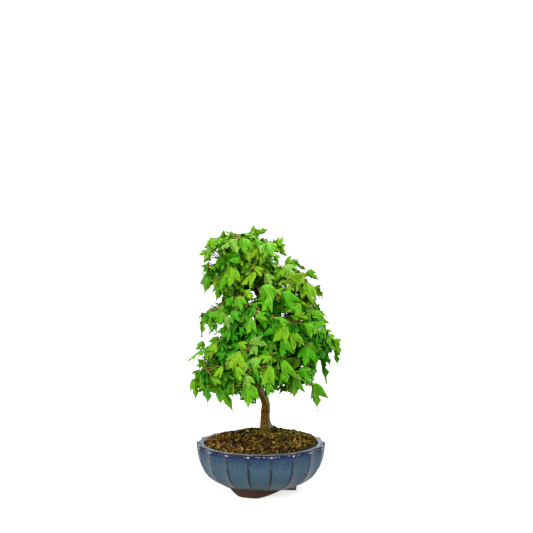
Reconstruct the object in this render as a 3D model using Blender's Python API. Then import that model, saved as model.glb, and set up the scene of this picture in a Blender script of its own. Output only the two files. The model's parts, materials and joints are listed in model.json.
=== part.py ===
"""A small trained trident maple in leaf, in a round fluted bowl of glazed stoneware on three feet.

The bowl is one fired piece. Soil fills it and rises in a low mound, and the trunk stands on the mound.
The trunk bends to and fro up to its tip. Boughs leave it, and each bough carries one mass of twigs and leaves.
Metres, +Z up, z = 0 on the table, +Y away from the front.
"""

import math
import random

import bmesh
import bpy
import numpy as np
from mathutils import Matrix, Vector, bvhtree

MM = 0.001
GAP = 0.3 * MM
SHARP_ANGLE = math.radians(35)

# The bowl's axis stands a little left of the origin, which is under the middle of the whole plant.
BOWL_AXIS = Vector((-5 * MM, 0, 0))

# Bowl
RIM_HEIGHT = 75 * MM
RIM_FALL = 0.5 * MM
OUTER_HEIGHTS = tuple(h * MM for h in (11, 14.5, 20, 29, 42, 58, 74.5))
RIDGE_RADIUS = 100 * MM
MOUTH_RADIUS = 87.5 * MM
FLUTES = 18
POINTS_PER_FLUTE = 3
FLUTE_DEPTH = 4.5 * MM
FLUTE_SHARE_AT_BASE = 0.6
BELLY_SHARE = 0.8
BELLY_TURN = 3.6
WALL = 7 * MM
BASE_HEIGHT = 11 * MM
BASE_RADIUS = 58 * MM
FLOOR = 8 * MM
INNER_SHOULDER = 46 * MM
DRAIN_RADIUS = 9 * MM
DRAIN_SIDES = 16
FOOT_COUNT = 3
FIRST_FOOT_BEARING = math.radians(-22)
FOOT_INNER = 33 * MM
FOOT_OUTER = 54 * MM
FOOT_SOLE_HALF = math.radians(15)
FOOT_TOP_HALF = math.radians(38)
FOOT_SUNK = 3 * MM
FOOT_SWEEP = 1.3

# Soil
SOIL_EDGE_DROP = 1 * MM
MOUND_TOP = 87.7 * MM
MOUND_FLAT_RADIUS = 26 * MM
MOUND_RINGS = (0.82, 0.56)
MOUND_CURVE = 1.3
SOIL_SIDES = 27
SOIL_SIDE_GAP = 0.5 * MM

# Trunk. Each bend has its height above the table, then how far right of the bowl's axis and how far behind it
# the middle of the trunk lies there, in mm.
TRUNK_BENDS = (
    (88, 5, 8),
    (112, 5, 7),
    (127, 6, 5),
    (135, 5.5, 4),
    (144, 2, 3),
    (153, -3, 2),
    (164, -9, 1),
    (182, -13, -1),
    (206, -8, 0),
    (232, 1, 3),
    (258, 6, 4),
    (288, 1, 3),
    (320, -12, 0),
    (348, -24, 0),
)
TRUNK_RADIUS = 6.9 * MM
TRUNK_TIP_RADIUS = 1.9 * MM
TRUNK_TAPER = 0.8
TRUNK_RINGS = 24
TRUNK_SIDES = 10
FLARE_HEIGHT = 7 * MM
FLARE = 1.6 * MM
# Surface roots: bearing from +X in degrees, reach beyond the trunk in mm, width in degrees.
ROOTS = ((12, 11, 26), (118, 4, 30), (200, 3, 28), (285, 3.5, 30))

# Boughs
BOUGH_BASE_RADIUS = 2.7 * MM
BOUGH_TIP_RADIUS = 1.6 * MM
BOUGH_RINGS = 5
BOUGH_SIDES = 5
BOUGH_RISE = 0.16
ENTRY_SHARE = 0.62

# Masses of foliage. Each has its name, the height on the trunk where its bough leaves, its middle and its
# half sizes, in mm from the bowl's axis: right, back and up. The last one grows from the trunk's tip.
MASSES = (
    ("low_left", 150, (-63, -24, 189), (51, 52, 62)),
    ("low_right", 160, (72, -18, 182), (40, 50, 54)),
    ("low_front", 168, (-9, -56, 196), (50, 47, 60)),
    ("low_back_left", 162, (-38, 54, 192), (55, 50, 56)),
    ("low_back_right", 176, (44, 56, 196), (51, 48, 54)),
    ("mid_left", 214, (-54, -10, 266), (47, 50, 46)),
    ("mid_right", 200, (74, -2, 240), (51, 56, 60)),
    ("mid_front", 226, (6, -50, 272), (54, 47, 52)),
    ("mid_back", 236, (2, 54, 272), (57, 48, 54)),
    ("high_right", 266, (46, -4, 316), (50, 54, 54)),
    ("high_back", 294, (-18, 42, 336), (52, 46, 50)),
    ("crown_left", 306, (-54, -12, 348), (46, 50, 58)),
    ("crown_top", None, (-12, -14, 370), (51, 50, 43)),
)

# Twigs and leaves
SEED = 4000
STEM_RADIUS = 1.6 * MM
STEM_TIP_RADIUS = 1.2 * MM
STEM_STRAIGHT = 2 * MM
STEM_KNEE = 0.4
STEM_BEYOND = 0.25
STEM_POINTS = 6
TWIG_RADIUS = 1.05 * MM
TWIG_TIP_RADIUS = 0.95 * MM
TWIG_ROOT_SHARE = 0.5
TWIG_SIDES = 3
TWIGS_PER_MASS = 8
TWIG_NEAR = 0.3
TWIG_FAR = 0.84
TWIG_END_TRIES = 14
TWIG_RISE = 0.15
DETOUR_COST = 0.5
# Leaves stand in pairs at these shares of a twig's length, the ends first.
LEAF_NODES = (0.98, 0.7, 0.4)
LEAVES_AT_NODE = 2
MOST_LEAVES = 28
LEAF_TRIES = 110
LEAF_LENGTH = 38 * MM
LEAF_SPREAD = 0.15
LEAF_HEART = 0.45
# Ranges in degrees: how far a blade hangs below the level, turns aside from its stalk, and rolls.
LEAF_DROOP = (20, 82)
LEAF_DROOP_LESS_AT_TOP = 45
LEAF_TURN = (-50, 50)
LEAF_ROLL = (-30, 30)
LOBE_FALL = 0.2
LEAF_END_THICK = 0.6 * MM
STALK_LENGTH = 12 * MM
STALK_SPREAD = (0.7, 1.4)
STALK_LIFT = (-0.2, 0.8)
STALK_OUTWARD = 0.4
STALK_RADIUS = 0.4 * MM
ROOT_OFFSET = 0.25 * MM
SPACE_MARGIN = 0.02
LIMB_CLEARANCE = 0.7 * MM
# A blade may not hang back across this share of its own stalk.
STALK_TESTED = 0.9
ROOM_ENOUGH = 0.8
FACING_WORTH = 0.5
CROWN_MIDDLE = Vector((0, 0, 240)) * MM

# The leaf's right half, across and along as shares of its length: the side lobe's tip, then the notch.
LOBE = (0.47, 0.43)
NOTCH = (0.18, 0.46)
# Faces on the corners that leaf_points lists: those of the stalk, then the blade's upper and lower ones.
STALK_FACES = ((0, 1, 2), (0, 3, 4), (0, 4, 1), (1, 4, 5), (1, 5, 2), (2, 5, 3), (2, 3, 0))
BLADE_FACES = (
    *((3, 6, 7), (3, 7, 8), (3, 8, 4), (4, 8, 9), (4, 9, 10)),
    *((5, 6, 3), (5, 7, 6), (5, 8, 7), (5, 9, 8), (5, 10, 9), (5, 4, 10)),
)

CENTRES = np.array([middle for _, _, middle, _ in MASSES]) * MM
HALF_SIZES = np.array([half for _, _, _, half in MASSES]) * MM


def material(name, colour, roughness, metallic=0.0):
    made = bpy.data.materials.new(name)
    made.use_nodes = True
    shader = made.node_tree.nodes["Principled BSDF"]
    shader.inputs["Base Color"].default_value = (*colour, 1)
    shader.inputs["Roughness"].default_value = roughness
    shader.inputs["Metallic"].default_value = metallic
    return made


def add_object(name, mesh, finish, collection=None):
    obj = bpy.data.objects.new(name, mesh)
    (collection or bpy.context.scene.collection).objects.link(obj)
    if finish:
        mesh.materials.append(finish)
    return obj


def mesh_from(bm, name):
    """The finished mesh of a bmesh, with its faces turned outward."""
    bmesh.ops.recalc_face_normals(bm, faces=bm.faces)
    mesh = bpy.data.meshes.new(name)
    bm.to_mesh(mesh)
    bm.free()
    return mesh


def ring_stack(rings):
    """One closed mesh from rings of points: neighbours are bridged, and the first and last are capped."""
    bm = bmesh.new()
    loops = [[bm.verts.new(point) for point in ring] for ring in rings]
    for lower, upper in zip(loops, loops[1:]):
        count = len(lower)
        for i in range(count):
            j = (i + 1) % count
            bm.faces.new((lower[i], lower[j], upper[j], upper[i]))
    bm.faces.new(loops[0][::-1])
    bm.faces.new(loops[-1])
    mesh = mesh_from(bm, "rings")
    mesh.shade_smooth()
    mesh.set_sharp_from_angle(angle=SHARP_ANGLE)
    return mesh


def apply_boolean(obj, operation, other=None, collection=None, solver="EXACT"):
    cut = obj.modifiers.new(operation.lower(), "BOOLEAN")
    cut.operation = operation
    cut.solver = solver
    if collection:
        cut.operand_type = "COLLECTION"
        cut.collection = collection
    else:
        cut.object = other
    bpy.context.view_layer.update()
    graph = bpy.context.evaluated_depsgraph_get()
    joined = bpy.data.meshes.new_from_object(obj.evaluated_get(graph))
    obj.modifiers.clear()
    obj.data = joined


def smooth_path(stations, count):
    """Points evenly spaced in parameter on a smooth curve through the stations."""
    held = [2 * stations[0] - stations[1], *stations, 2 * stations[-1] - stations[-2]]
    path = []
    for step in range(count):
        place = step * (len(stations) - 1) / (count - 1)
        span = min(int(place), len(stations) - 2)
        t = place - span
        a, b, c, d = held[span : span + 4]
        bend = (2 * a - 5 * b + 4 * c - d) * t**2 + (3 * b - a - 3 * c + d) * t**3
        path.append((2 * b + (c - a) * t + bend) / 2)
    return path


def frames_along(path):
    """For each point of a path, the way it heads and two directions across it that don't twist."""
    heads = [(b - a).normalized() for a, b in zip(path, path[1:])]
    ways = [heads[0], *[(a + b).normalized() for a, b in zip(heads, heads[1:])], heads[-1]]
    side = ways[0].orthogonal().normalized()
    frames = []
    for way in ways:
        side = (side - way * side.dot(way)).normalized()
        frames.append((way, side, way.cross(side)))
    return frames


def tube(path, radii, sides):
    """A limb or twig: rings of the given radii across a path."""
    rings = []
    for centre, radius, (_, side, over) in zip(path, radii, frames_along(path)):
        angles = [2 * math.pi * i / sides for i in range(sides)]
        rings.append([centre + radius * (side * math.cos(a) + over * math.sin(a)) for a in angles])
    return ring_stack(rings)


def bowl_radius(height):
    """Radius over the ridges at a height: a tight turn above the base, then nearly upright to the rim."""
    t = (height - BASE_HEIGHT) / (RIM_HEIGHT - RIM_FALL - BASE_HEIGHT)
    swell = BELLY_SHARE * (1 - (1 - t) ** BELLY_TURN) + (1 - BELLY_SHARE) * t
    return BASE_RADIUS + (RIDGE_RADIUS - BASE_RADIUS) * swell


def round_ring(radius, height, sides):
    angles = [2 * math.pi * i / sides for i in range(sides)]
    return [Vector((radius * math.sin(a), -radius * math.cos(a), height)) for a in angles]


def fluted_ring(radius, height, depth):
    """A ring with hollow flutes between sharp ridges, the ridges on the stated radius."""
    ring = []
    for i in range(FLUTES * POINTS_PER_FLUTE):
        across = (i % POINTS_PER_FLUTE) / POINTS_PER_FLUTE
        r = radius - depth * math.sin(math.pi * across)
        bearing = 2 * math.pi * i / (FLUTES * POINTS_PER_FLUTE) + math.pi / FLUTES
        ring.append(Vector((r * math.sin(bearing), -r * math.cos(bearing), height)))
    return ring


def inner_radius(height):
    return min(MOUTH_RADIUS, bowl_radius(height) - WALL - FLUTE_DEPTH / 2)


def foot_mesh(middle):
    """A bracket foot: a flat sole whose two ends sweep up into the bowl's underside."""
    sunk = BASE_HEIGHT + FOOT_SUNK
    sole_share = FOOT_SOLE_HALF / FOOT_TOP_HALF
    sections = []
    for share in (-1, -0.8, -0.6, -sole_share, 0, sole_share, 0.6, 0.8, 1):
        bearing = middle + share * FOOT_TOP_HALF
        beyond = (abs(share) - sole_share) / (1 - sole_share)
        low = (BASE_HEIGHT + FOOT_SUNK / 3) * max(0, beyond) ** FOOT_SWEEP
        out = Vector((math.sin(bearing), -math.cos(bearing), 0))
        corners = ((FOOT_INNER, low), (FOOT_OUTER, low), (FOOT_OUTER, sunk), (FOOT_INNER, sunk))
        sections.append([out * r + Vector((0, 0, z)) for r, z in corners])
    return ring_stack(sections)


def make_bowl(glaze):
    """A fluted wall with a flat rim, three feet fused under it, and a drain hole through the floor."""
    rings = []
    for h in OUTER_HEIGHTS:
        depth = FLUTE_DEPTH * (FLUTE_SHARE_AT_BASE + (1 - FLUTE_SHARE_AT_BASE) * h / RIM_HEIGHT)
        rings.append(fluted_ring(bowl_radius(h), h, depth))
    rings.append(fluted_ring(MOUTH_RADIUS, RIM_HEIGHT, 0))
    floor_top = BASE_HEIGHT + FLOOR
    for h in (INNER_SHOULDER, floor_top):
        rings.append(fluted_ring(inner_radius(h), h, 0))
    bowl = add_object("bowl", ring_stack(rings), glaze)
    feet = bpy.data.collections.new("feet")
    for i in range(FOOT_COUNT):
        add_object("foot", foot_mesh(FIRST_FOOT_BEARING + 2 * math.pi * i / FOOT_COUNT), None, feet)
    apply_boolean(bowl, "UNION", collection=feet)
    drill_rings = [round_ring(DRAIN_RADIUS, z, DRAIN_SIDES) for z in (0, floor_top + FLOOR)]
    apply_boolean(bowl, "DIFFERENCE", other=add_object("drill", ring_stack(drill_rings), None, feet))
    for helper in list(feet.objects):
        bpy.data.objects.remove(helper)
    bpy.data.collections.remove(feet)


def make_soil(finish):
    """The root ball fills the bowl and rises to a low mound, flat where the trunk stands."""
    edge = RIM_HEIGHT - SOIL_EDGE_DROP
    levels = [(inner_radius(h) - SOIL_SIDE_GAP, h) for h in (BASE_HEIGHT + FLOOR + GAP, INNER_SHOULDER, edge)]
    for share in MOUND_RINGS:
        radius = MOUTH_RADIUS * share
        fall = (radius - MOUND_FLAT_RADIUS) / (MOUTH_RADIUS - MOUND_FLAT_RADIUS)
        levels.append((radius, edge + (MOUND_TOP - edge) * (1 - fall**MOUND_CURVE)))
    levels.append((MOUND_FLAT_RADIUS, MOUND_TOP))
    add_object("soil", ring_stack([round_ring(r, z, SOIL_SIDES) for r, z in levels]), finish)


def trunk_stations():
    return [Vector((x * MM, y * MM, z * MM)) for z, x, y in TRUNK_BENDS]


def trunk_point(height):
    """The trunk's middle at a height above the table."""
    path = smooth_path(trunk_stations(), 200)
    return min(path, key=lambda p: abs(p.z - height))


def trunk_radius(height):
    foot, tip = TRUNK_BENDS[0][0] * MM, TRUNK_BENDS[-1][0] * MM
    left = max(0.0, (tip - height) / (tip - foot))
    return TRUNK_TIP_RADIUS + (TRUNK_RADIUS - TRUNK_TIP_RADIUS) * left**TRUNK_TAPER


def flare_at(height, bearing):
    """How far the foot of the trunk spreads at a height and bearing, with its surface roots."""
    above = height - TRUNK_BENDS[0][0] * MM
    fade = math.exp(-above / FLARE_HEIGHT)
    spread = FLARE
    for root_bearing, reach, width in ROOTS:
        away = (math.degrees(bearing) - root_bearing + 180) % 360 - 180
        spread += reach * MM * math.exp(-((away / width) ** 2)) * fade
    return spread * fade


def trunk_mesh(grown=0.0):
    """The trunk from its flat cut to its tip. With grown, every side is that much further out."""
    path = smooth_path(trunk_stations(), TRUNK_RINGS)
    rings = []
    for middle, (way, _, _) in zip(path, frames_along(path)):
        if middle is path[0]:
            way = Vector((0, 0, 1))
        side = (Vector((1, 0, 0)) - way * way.x).normalized()
        over = way.cross(side)
        ring = []
        for i in range(TRUNK_SIDES):
            bearing = 2 * math.pi * i / TRUNK_SIDES
            r = trunk_radius(middle.z) + flare_at(middle.z, bearing) + grown
            ring.append(middle + side * (r * math.cos(bearing)) + over * (r * math.sin(bearing)))
        rings.append(ring)
    if grown:
        rings[0] = [p - Vector((0, 0, grown)) for p in rings[0]]
        rings[-1] = [p + Vector((0, 0, grown)) for p in rings[-1]]
    return ring_stack(rings)


def entry_point(leaves_at, middle, half):
    """Where a bough ends: on the line to its mass's middle, part of the way into the mass."""
    way = middle - leaves_at
    inward = Vector(-way[i] / half[i] for i in range(3)).length
    return middle - way * (ENTRY_SHARE / inward)


def bough_path(leaves_at, end):
    """A bough climbs as it leaves the trunk, then levels out to its end."""
    reach = (end - leaves_at).length
    crest = leaves_at.lerp(end, 0.5) + Vector((0, 0, reach * BOUGH_RISE))
    return [
        leaves_at * (1 - t) ** 2 + crest * (2 * t * (1 - t)) + end * t**2
        for t in (i / (BOUGH_RINGS - 1) for i in range(BOUGH_RINGS))
    ]


def tapered(first, last, count):
    return [first + (last - first) * i / (count - 1) for i in range(count)]


def bough_mesh(path, grown=0.0):
    """A bough's tapering limb. With grown, its sides are that much further out."""
    radii = tapered(BOUGH_BASE_RADIUS + grown, BOUGH_TIP_RADIUS + grown, BOUGH_RINGS)
    return tube(path, radii, BOUGH_SIDES)


def tree_of(mesh):
    """A search tree of a mesh's faces, to test what touches it."""
    corners = [v.co.copy() for v in mesh.vertices]
    return bvhtree.BVHTree.FromPolygons(corners, [tuple(f.vertices) for f in mesh.polygons])


def shares_of(points):
    """For each point and each mass, how far out of the mass's middle it lies: 1 is on the mass's outline."""
    return np.linalg.norm((np.array(points)[:, None, :] - CENTRES) / HALF_SIZES, axis=2)


def in_own_space(points, own):
    shares = shares_of(points)
    others = np.delete(shares, own, axis=1).min(axis=1)
    return bool(((shares[:, own] <= 1) & (shares[:, own] + SPACE_MARGIN <= others)).all())


def leaf_points(leaf):
    """Corners of a leaf: three round the stalk's root, three where it meets the blade, then the outline."""
    across, along, up = leaf["across"], leaf["along"], leaf["up"]
    base, length = leaf["base"], leaf["length"]
    stalk = (base - leaf["root"]).normalized()
    bend = (stalk + along).normalized()

    def three(centre, way, r):
        side = (across - way * across.dot(way)).normalized() * r
        over = side.cross(way)
        return [centre + side + over / 2, centre - side + over / 2, centre - over]

    outline = [LOBE, NOTCH, (0, 1), (-NOTCH[0], NOTCH[1]), (-LOBE[0], LOBE[1])]
    blade = [base + (across * x + along * y - up * abs(x) * LOBE_FALL) * length for x, y in outline]
    return three(leaf["root"], stalk, STALK_RADIUS) + three(base, bend, LEAF_END_THICK) + blade


def leaf_mesh(leaf):
    bm = bmesh.new()
    corners = [bm.verts.new(point) for point in leaf_points(leaf)]
    for face in STALK_FACES + BLADE_FACES:
        bm.faces.new([corners[i] for i in face])
    return mesh_from(bm, "leaf")


def leaf_trees(leaf):
    """Search trees of a leaf's stalk and of its blade."""
    points = leaf_points(leaf)
    return [bvhtree.BVHTree.FromPolygons(points, faces) for faces in (STALK_FACES, BLADE_FACES)]


def fits(leaf, limbs, growth):
    """The leaf's search trees if only its stalk's root touches what has grown before, and nothing otherwise."""
    stalk, blade = leaf_trees(leaf)
    way = (leaf["base"] - leaf["root"]) * STALK_TESTED
    if blade.overlap(limbs) or stalk.overlap(limbs) or blade.ray_cast(leaf["root"], way, way.length)[0]:
        return None
    if any(blade.overlap(other) for kind in growth.values() for other in kind):
        return None
    if any(stalk.overlap(other) for other in growth["blades"]):
        return None
    return stalk, blade


def propose_leaf(rng, node, outward):
    """A leaf on its stalk: the stalk stands out and up from the twig, and the blade hangs from its end."""
    bearing = rng.uniform(0, 2 * math.pi)
    level = Vector((math.cos(bearing), math.sin(bearing), 0))
    level = (level + Vector((outward.x, outward.y, 0)) * STALK_OUTWARD).normalized()
    lift = rng.uniform(*STALK_LIFT) + STALK_OUTWARD * outward.z
    stalk = (level + Vector((0, 0, lift))).normalized()
    root = node + stalk * ROOT_OFFSET
    base = root + stalk * STALK_LENGTH * rng.uniform(*STALK_SPREAD)
    droop = math.radians(rng.uniform(*LEAF_DROOP) - LEAF_DROOP_LESS_AT_TOP * max(0, outward.z))
    heading = Matrix.Rotation(math.radians(rng.uniform(*LEAF_TURN)), 3, "Z") @ level
    along = (heading * math.cos(droop) - Vector((0, 0, math.sin(droop)))).normalized()
    across = along.cross(Vector((0, 0, 1))).normalized()
    across = Matrix.Rotation(math.radians(rng.uniform(*LEAF_ROLL)), 3, along) @ across
    up = across.cross(along).normalized()
    length = LEAF_LENGTH * (1 + rng.uniform(-LEAF_SPREAD, LEAF_SPREAD))
    return {"root": root, "base": base, "along": along, "across": across, "up": up, "length": length}


def worth_of(leaf, own, middles):
    """A leaf is worth more near its mass's outline, away from other leaves, and facing out of the crown."""
    middle = leaf["base"] + leaf["along"] * leaf["length"] * LEAF_HEART
    room = min([(middle - other).length for other in middles], default=LEAF_LENGTH)
    tip = leaf["base"] + leaf["along"] * leaf["length"]
    facing = leaf["up"].dot((middle - CROWN_MIDDLE).normalized())
    worth = shares_of([tip])[0][own] + min(room / LEAF_LENGTH, ROOM_ENOUGH) + FACING_WORTH * facing
    return worth, middle


def twig_ends(rng, own, stem):
    """Twig ends spread evenly through a mass: each is the loneliest of some random places."""
    places = []
    while len(places) < TWIGS_PER_MASS:
        best, best_room = None, -1.0
        for _ in range(TWIG_END_TRIES):
            way = Vector(rng.gauss(0, 1) for _ in range(3)).normalized()
            share = rng.uniform(TWIG_NEAR, TWIG_FAR)
            point = Vector(CENTRES[own] + np.array(way) * share * HALF_SIZES[own])
            room = min((point - other).length for other in stem + places)
            if room > best_room and in_own_space([point], own):
                best, best_room = point, room
        if best:
            places.append(best)
    return sorted(places, key=lambda p: min((p - q).length for q in stem))


def grow_twigs(own, stem_root, stem_way, limbs, rng):
    """The stem runs through the mass, and each twig leaves the joint that makes its way shortest."""
    middle = Vector(CENTRES[own])
    start = stem_root + stem_way * GAP
    ahead = start + stem_way * STEM_STRAIGHT
    knee = ahead.lerp(middle, STEM_KNEE) + stem_way * STEM_STRAIGHT
    beyond = middle + (middle - stem_root) * STEM_BEYOND
    stem = [start, *smooth_path([ahead, knee, middle, beyond], STEM_POINTS)]
    stem_radii = tapered(STEM_RADIUS, STEM_TIP_RADIUS, len(stem))
    twigs = [(stem, stem_radii)]
    joints = [(p, 0.0, r) for p, r in zip(stem[2:], stem_radii[2:])]
    for end in twig_ends(rng, own, stem):
        joint, far, radius = min(joints, key=lambda j: (j[0] - end).length + DETOUR_COST * j[1])
        reach = (end - joint).length
        crest = joint.lerp(end, 0.5) + Vector((0, 0, TWIG_RISE * reach))
        joint = joint + (crest - joint).normalized() * ROOT_OFFSET
        path = [joint, crest, end]
        radii = [radius * TWIG_ROOT_SHARE, TWIG_RADIUS, TWIG_TIP_RADIUS]
        if in_own_space(path[1:], own) and not tree_of(tube(path, radii, TWIG_SIDES)).overlap(limbs):
            twigs.append((path, radii))
            joints.append((crest, far + reach / 2, TWIG_RADIUS))
            joints.append((end, far + reach, TWIG_TIP_RADIUS))
    return twigs


def grow_leaves(own, twigs, limbs, rng):
    """Pairs of leaves, those at the twigs' ends first. Each is the worthiest of many that fit."""
    middle = Vector(CENTRES[own])
    growth = {"stalks": [], "blades": [], "twigs": [tree_of(tube(*twig, TWIG_SIDES)) for twig in twigs]}
    leaves, middles = [], []
    for share in LEAF_NODES * LEAVES_AT_NODE:
        for (joint, crest, end), _ in twigs[1:]:
            node = crest.lerp(end, share * 2 - 1) if share > 0.5 else joint.lerp(crest, share * 2)
            outward = (end - middle).normalized()
            best, best_worth = None, -math.inf
            for _ in range(LEAF_TRIES):
                leaf = propose_leaf(rng, node, outward)
                if not in_own_space(leaf_points(leaf)[3:], own):
                    continue
                worth, heart = worth_of(leaf, own, middles)
                if worth <= best_worth:
                    continue
                trees = fits(leaf, limbs, growth)
                if trees:
                    best, best_worth = (leaf, heart, *trees), worth
            if best:
                for kept, value in zip((leaves, middles, growth["stalks"], growth["blades"]), best):
                    kept.append(value)
            if len(leaves) == MOST_LEAVES:
                return leaves
    return leaves


def keep_main_body(obj):
    """Loose scraps are dropped, and the skin of any sealed hollow is taken away, which fills it."""
    bm = bmesh.new()
    bm.from_mesh(obj.data)
    left = set(bm.faces)
    bodies = []
    while left:
        waiting = [left.pop()]
        body = []
        while waiting:
            face = waiting.pop()
            body.append(face)
            near = {other for edge in face.edges for other in edge.link_faces} & left
            left -= near
            waiting.extend(near)
        bodies.append(body)
    bodies.sort(key=len)
    for body in bodies[:-1]:
        bmesh.ops.delete(bm, geom=body, context="FACES")
    bm.to_mesh(obj.data)
    bm.free()


def make_mass(name, twigs, leaves, finish):
    """Twigs and leaves fused into one solid that grows from the stem."""
    (stem_path, stem_radii), *rest = twigs
    mass = add_object("mass_" + name, tube(stem_path, stem_radii, TWIG_SIDES), finish)
    growth = bpy.data.collections.new("growth")
    for path, radii in rest:
        add_object("twig", tube(path, radii, TWIG_SIDES), None, growth)
    for leaf in leaves:
        add_object("leaf", leaf_mesh(leaf), None, growth)
    apply_boolean(mass, "UNION", collection=growth, solver="MANIFOLD")
    for piece in list(growth.objects):
        bpy.data.objects.remove(piece)
    bpy.data.collections.remove(growth)
    keep_main_body(mass)


def main():
    for obj in list(bpy.data.objects):
        bpy.data.objects.remove(obj)
    glaze = material("blue_grey_glaze", (0.09, 0.16, 0.26), 0.28)
    earth = material("grit_soil", (0.13, 0.08, 0.04), 0.95)
    bark = material("grey_brown_bark", (0.28, 0.2, 0.12), 0.8)
    foliage = material("green_leaf", (0.12, 0.42, 0.03), 0.5)

    make_bowl(glaze)
    make_soil(earth)
    add_object("trunk", trunk_mesh(), bark)
    keep_off = add_object("keep_off", trunk_mesh(GAP), None)
    keep_off.hide_render = True
    keep_off.display_type = "WIRE"
    limbs = bmesh.new()
    limbs.from_mesh(trunk_mesh(LIMB_CLEARANCE))
    tips = []
    for name, height, middle, half in MASSES:
        path = trunk_stations()
        if height:
            leaves_at = trunk_point(height * MM)
            path = bough_path(leaves_at, entry_point(leaves_at, Vector(middle) * MM, Vector(half) * MM))
            bough = add_object("bough_" + name, bough_mesh(path), bark)
            apply_boolean(bough, "DIFFERENCE", other=keep_off)
            limbs.from_mesh(bough_mesh(path, LIMB_CLEARANCE))
        tips.append((path[-1], (path[-1] - path[-2]).normalized()))
    bpy.data.objects.remove(keep_off)
    limb_tree = bvhtree.BVHTree.FromBMesh(limbs)
    limbs.free()
    for own, (name, *_) in enumerate(MASSES):
        rng = random.Random(SEED + own)
        twigs = grow_twigs(own, *tips[own], limb_tree, rng)
        make_mass(name, twigs, grow_leaves(own, twigs, limb_tree, rng), foliage)

    stand = bpy.data.objects.new("stand", None)
    bpy.context.scene.collection.objects.link(stand)
    for obj in bpy.data.objects:
        if obj.type == "MESH":
            obj.parent = stand
    stand.location = BOWL_AXIS


main()
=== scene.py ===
"""A small trident maple in leaf in its glazed bowl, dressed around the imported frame.

The bowl comes first, then the soil, the trunk and boughs, the twigs and the leaves. Metres, +Z up.
"""

import json
import math
import random

import bpy
import numpy as np
from mathutils import Matrix, Vector, noise

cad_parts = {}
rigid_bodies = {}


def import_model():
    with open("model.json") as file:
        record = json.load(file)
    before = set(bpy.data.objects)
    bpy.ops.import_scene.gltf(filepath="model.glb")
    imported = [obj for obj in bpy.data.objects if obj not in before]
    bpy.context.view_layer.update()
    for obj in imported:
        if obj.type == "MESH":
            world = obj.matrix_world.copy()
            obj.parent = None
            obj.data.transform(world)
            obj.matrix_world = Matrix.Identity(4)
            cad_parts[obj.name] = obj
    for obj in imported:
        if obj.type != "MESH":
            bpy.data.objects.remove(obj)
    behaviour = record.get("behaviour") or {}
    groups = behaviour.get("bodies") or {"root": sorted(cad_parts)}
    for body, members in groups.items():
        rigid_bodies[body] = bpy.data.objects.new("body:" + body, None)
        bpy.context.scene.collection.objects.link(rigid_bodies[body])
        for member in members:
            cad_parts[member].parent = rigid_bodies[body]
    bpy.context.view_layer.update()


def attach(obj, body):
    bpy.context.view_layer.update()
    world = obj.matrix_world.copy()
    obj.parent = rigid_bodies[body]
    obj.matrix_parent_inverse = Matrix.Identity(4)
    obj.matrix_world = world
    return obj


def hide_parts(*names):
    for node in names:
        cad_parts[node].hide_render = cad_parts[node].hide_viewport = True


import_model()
MM = 0.001


# The bowl: stoneware pressed in a mould with eighteen hollow flutes, then dipped in a blue-grey glaze.
# The glaze pools dark under the rim, thins to brown over the sharp ridges, and stops above the bare base.
BOWL_AXIS = Vector((-5, 0, 0)) * MM
RIM_HEIGHT = 75 * MM
LIP_HEIGHT = 74.5 * MM
RIDGE_RADIUS = 100 * MM
MOUTH_RADIUS = 87.5 * MM
FLUTES = 18
STEPS_PER_FLUTE = 16
FLUTE_DEPTH = 4.5 * MM
FLUTE_SHARE_AT_BASE = 0.6
BELLY_SHARE = 0.8
BELLY_TURN = 4.3
FLUTE_START = math.radians(-0.9)
WALL = 9.2 * MM
WALL_TOP = 73.2 * MM
WALL_STEPS = 34
WALL_CROWDING = 1.25
BASE_HEIGHT = 11 * MM
BASE_RADIUS = 58 * MM
BASE_CORNER_RADIUS = 57.7 * MM
BASE_CORNER_RISE = 0.3 * MM
FLOOR_TOP = 19 * MM
DRAIN_RADIUS = 9 * MM
# Rings of the flat underside, heights of the rings inside, and rings of the floor, in mm.
UNDERSIDE_RINGS = (24, 40, 50, 56.8)
INSIDE_RINGS = (60, 46, 34, 26, 21)
FLOOR_RINGS = (48, 30)
# The rim's section from the ridge over the flat top and down into the mouth: radius and height in mm.
RIM_OUTSIDE = ((99.85, 74.0), (99.4, 74.6), (98.6, 74.95), (97, 75), (94, 75), (91, 75))
RIM_INSIDE = ((89, 75), (88.1, 74.8), (87.5, 74.3), (87.3, 73), (86.6, 68))
RIM_OUTER_EDGE = 99.2 * MM
# Where the rim's darker outer half and the flutes underneath begin, and over what width they grow.
OUTER_LIP = (94.5 * MM, 2.5 * MM)
FLUTES_UNDERNEATH = (40 * MM, 17 * MM)
UNDERSIDE_SLACK = 0.1 * MM
RIDGE_CROWDING = 0.75
RIDGE_ROUNDING = 0.035
RIDGE_WIDTH = 1.8 * MM
SEAM_SLACK = 1e-4
# A painted sheen beside the ridges on the bowl's sides: how wide it is, where it starts and grows as the wall
# turns aside, and how much of it lies on the right.
SHEEN_BAND = 5 * MM
SHEEN_FROM_ASIDE = (0.45, 0.3)
SHEEN_ON_RIGHT = 0.3
MERGE_WITHIN = 0.01 * MM


class Field:
    """A value that changes over a material. Sums and products of fields add their own nodes."""

    def __init__(self, finish, socket):
        self.finish = finish
        self.socket = socket

    def __add__(self, other):
        return self.finish.math("ADD", self, other)

    __radd__ = __add__

    def __sub__(self, other):
        return self.finish.math("SUBTRACT", self, other)

    def __rsub__(self, other):
        return self.finish.math("SUBTRACT", other, self)

    def __mul__(self, other):
        return self.finish.math("MULTIPLY", self, other)

    __rmul__ = __mul__

    def __abs__(self):
        return self.finish.math("ABSOLUTE", self)

    def between(self, low, high):
        """0 up to low, 1 from high on, and smooth in between. It works downwards too, with high below low."""
        settings = {"interpolation_type": "SMOOTHSTEP"}
        values = {"Value": self, "From Min": low, "From Max": high}
        return self.finish.node("ShaderNodeMapRange", settings, values)


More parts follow.
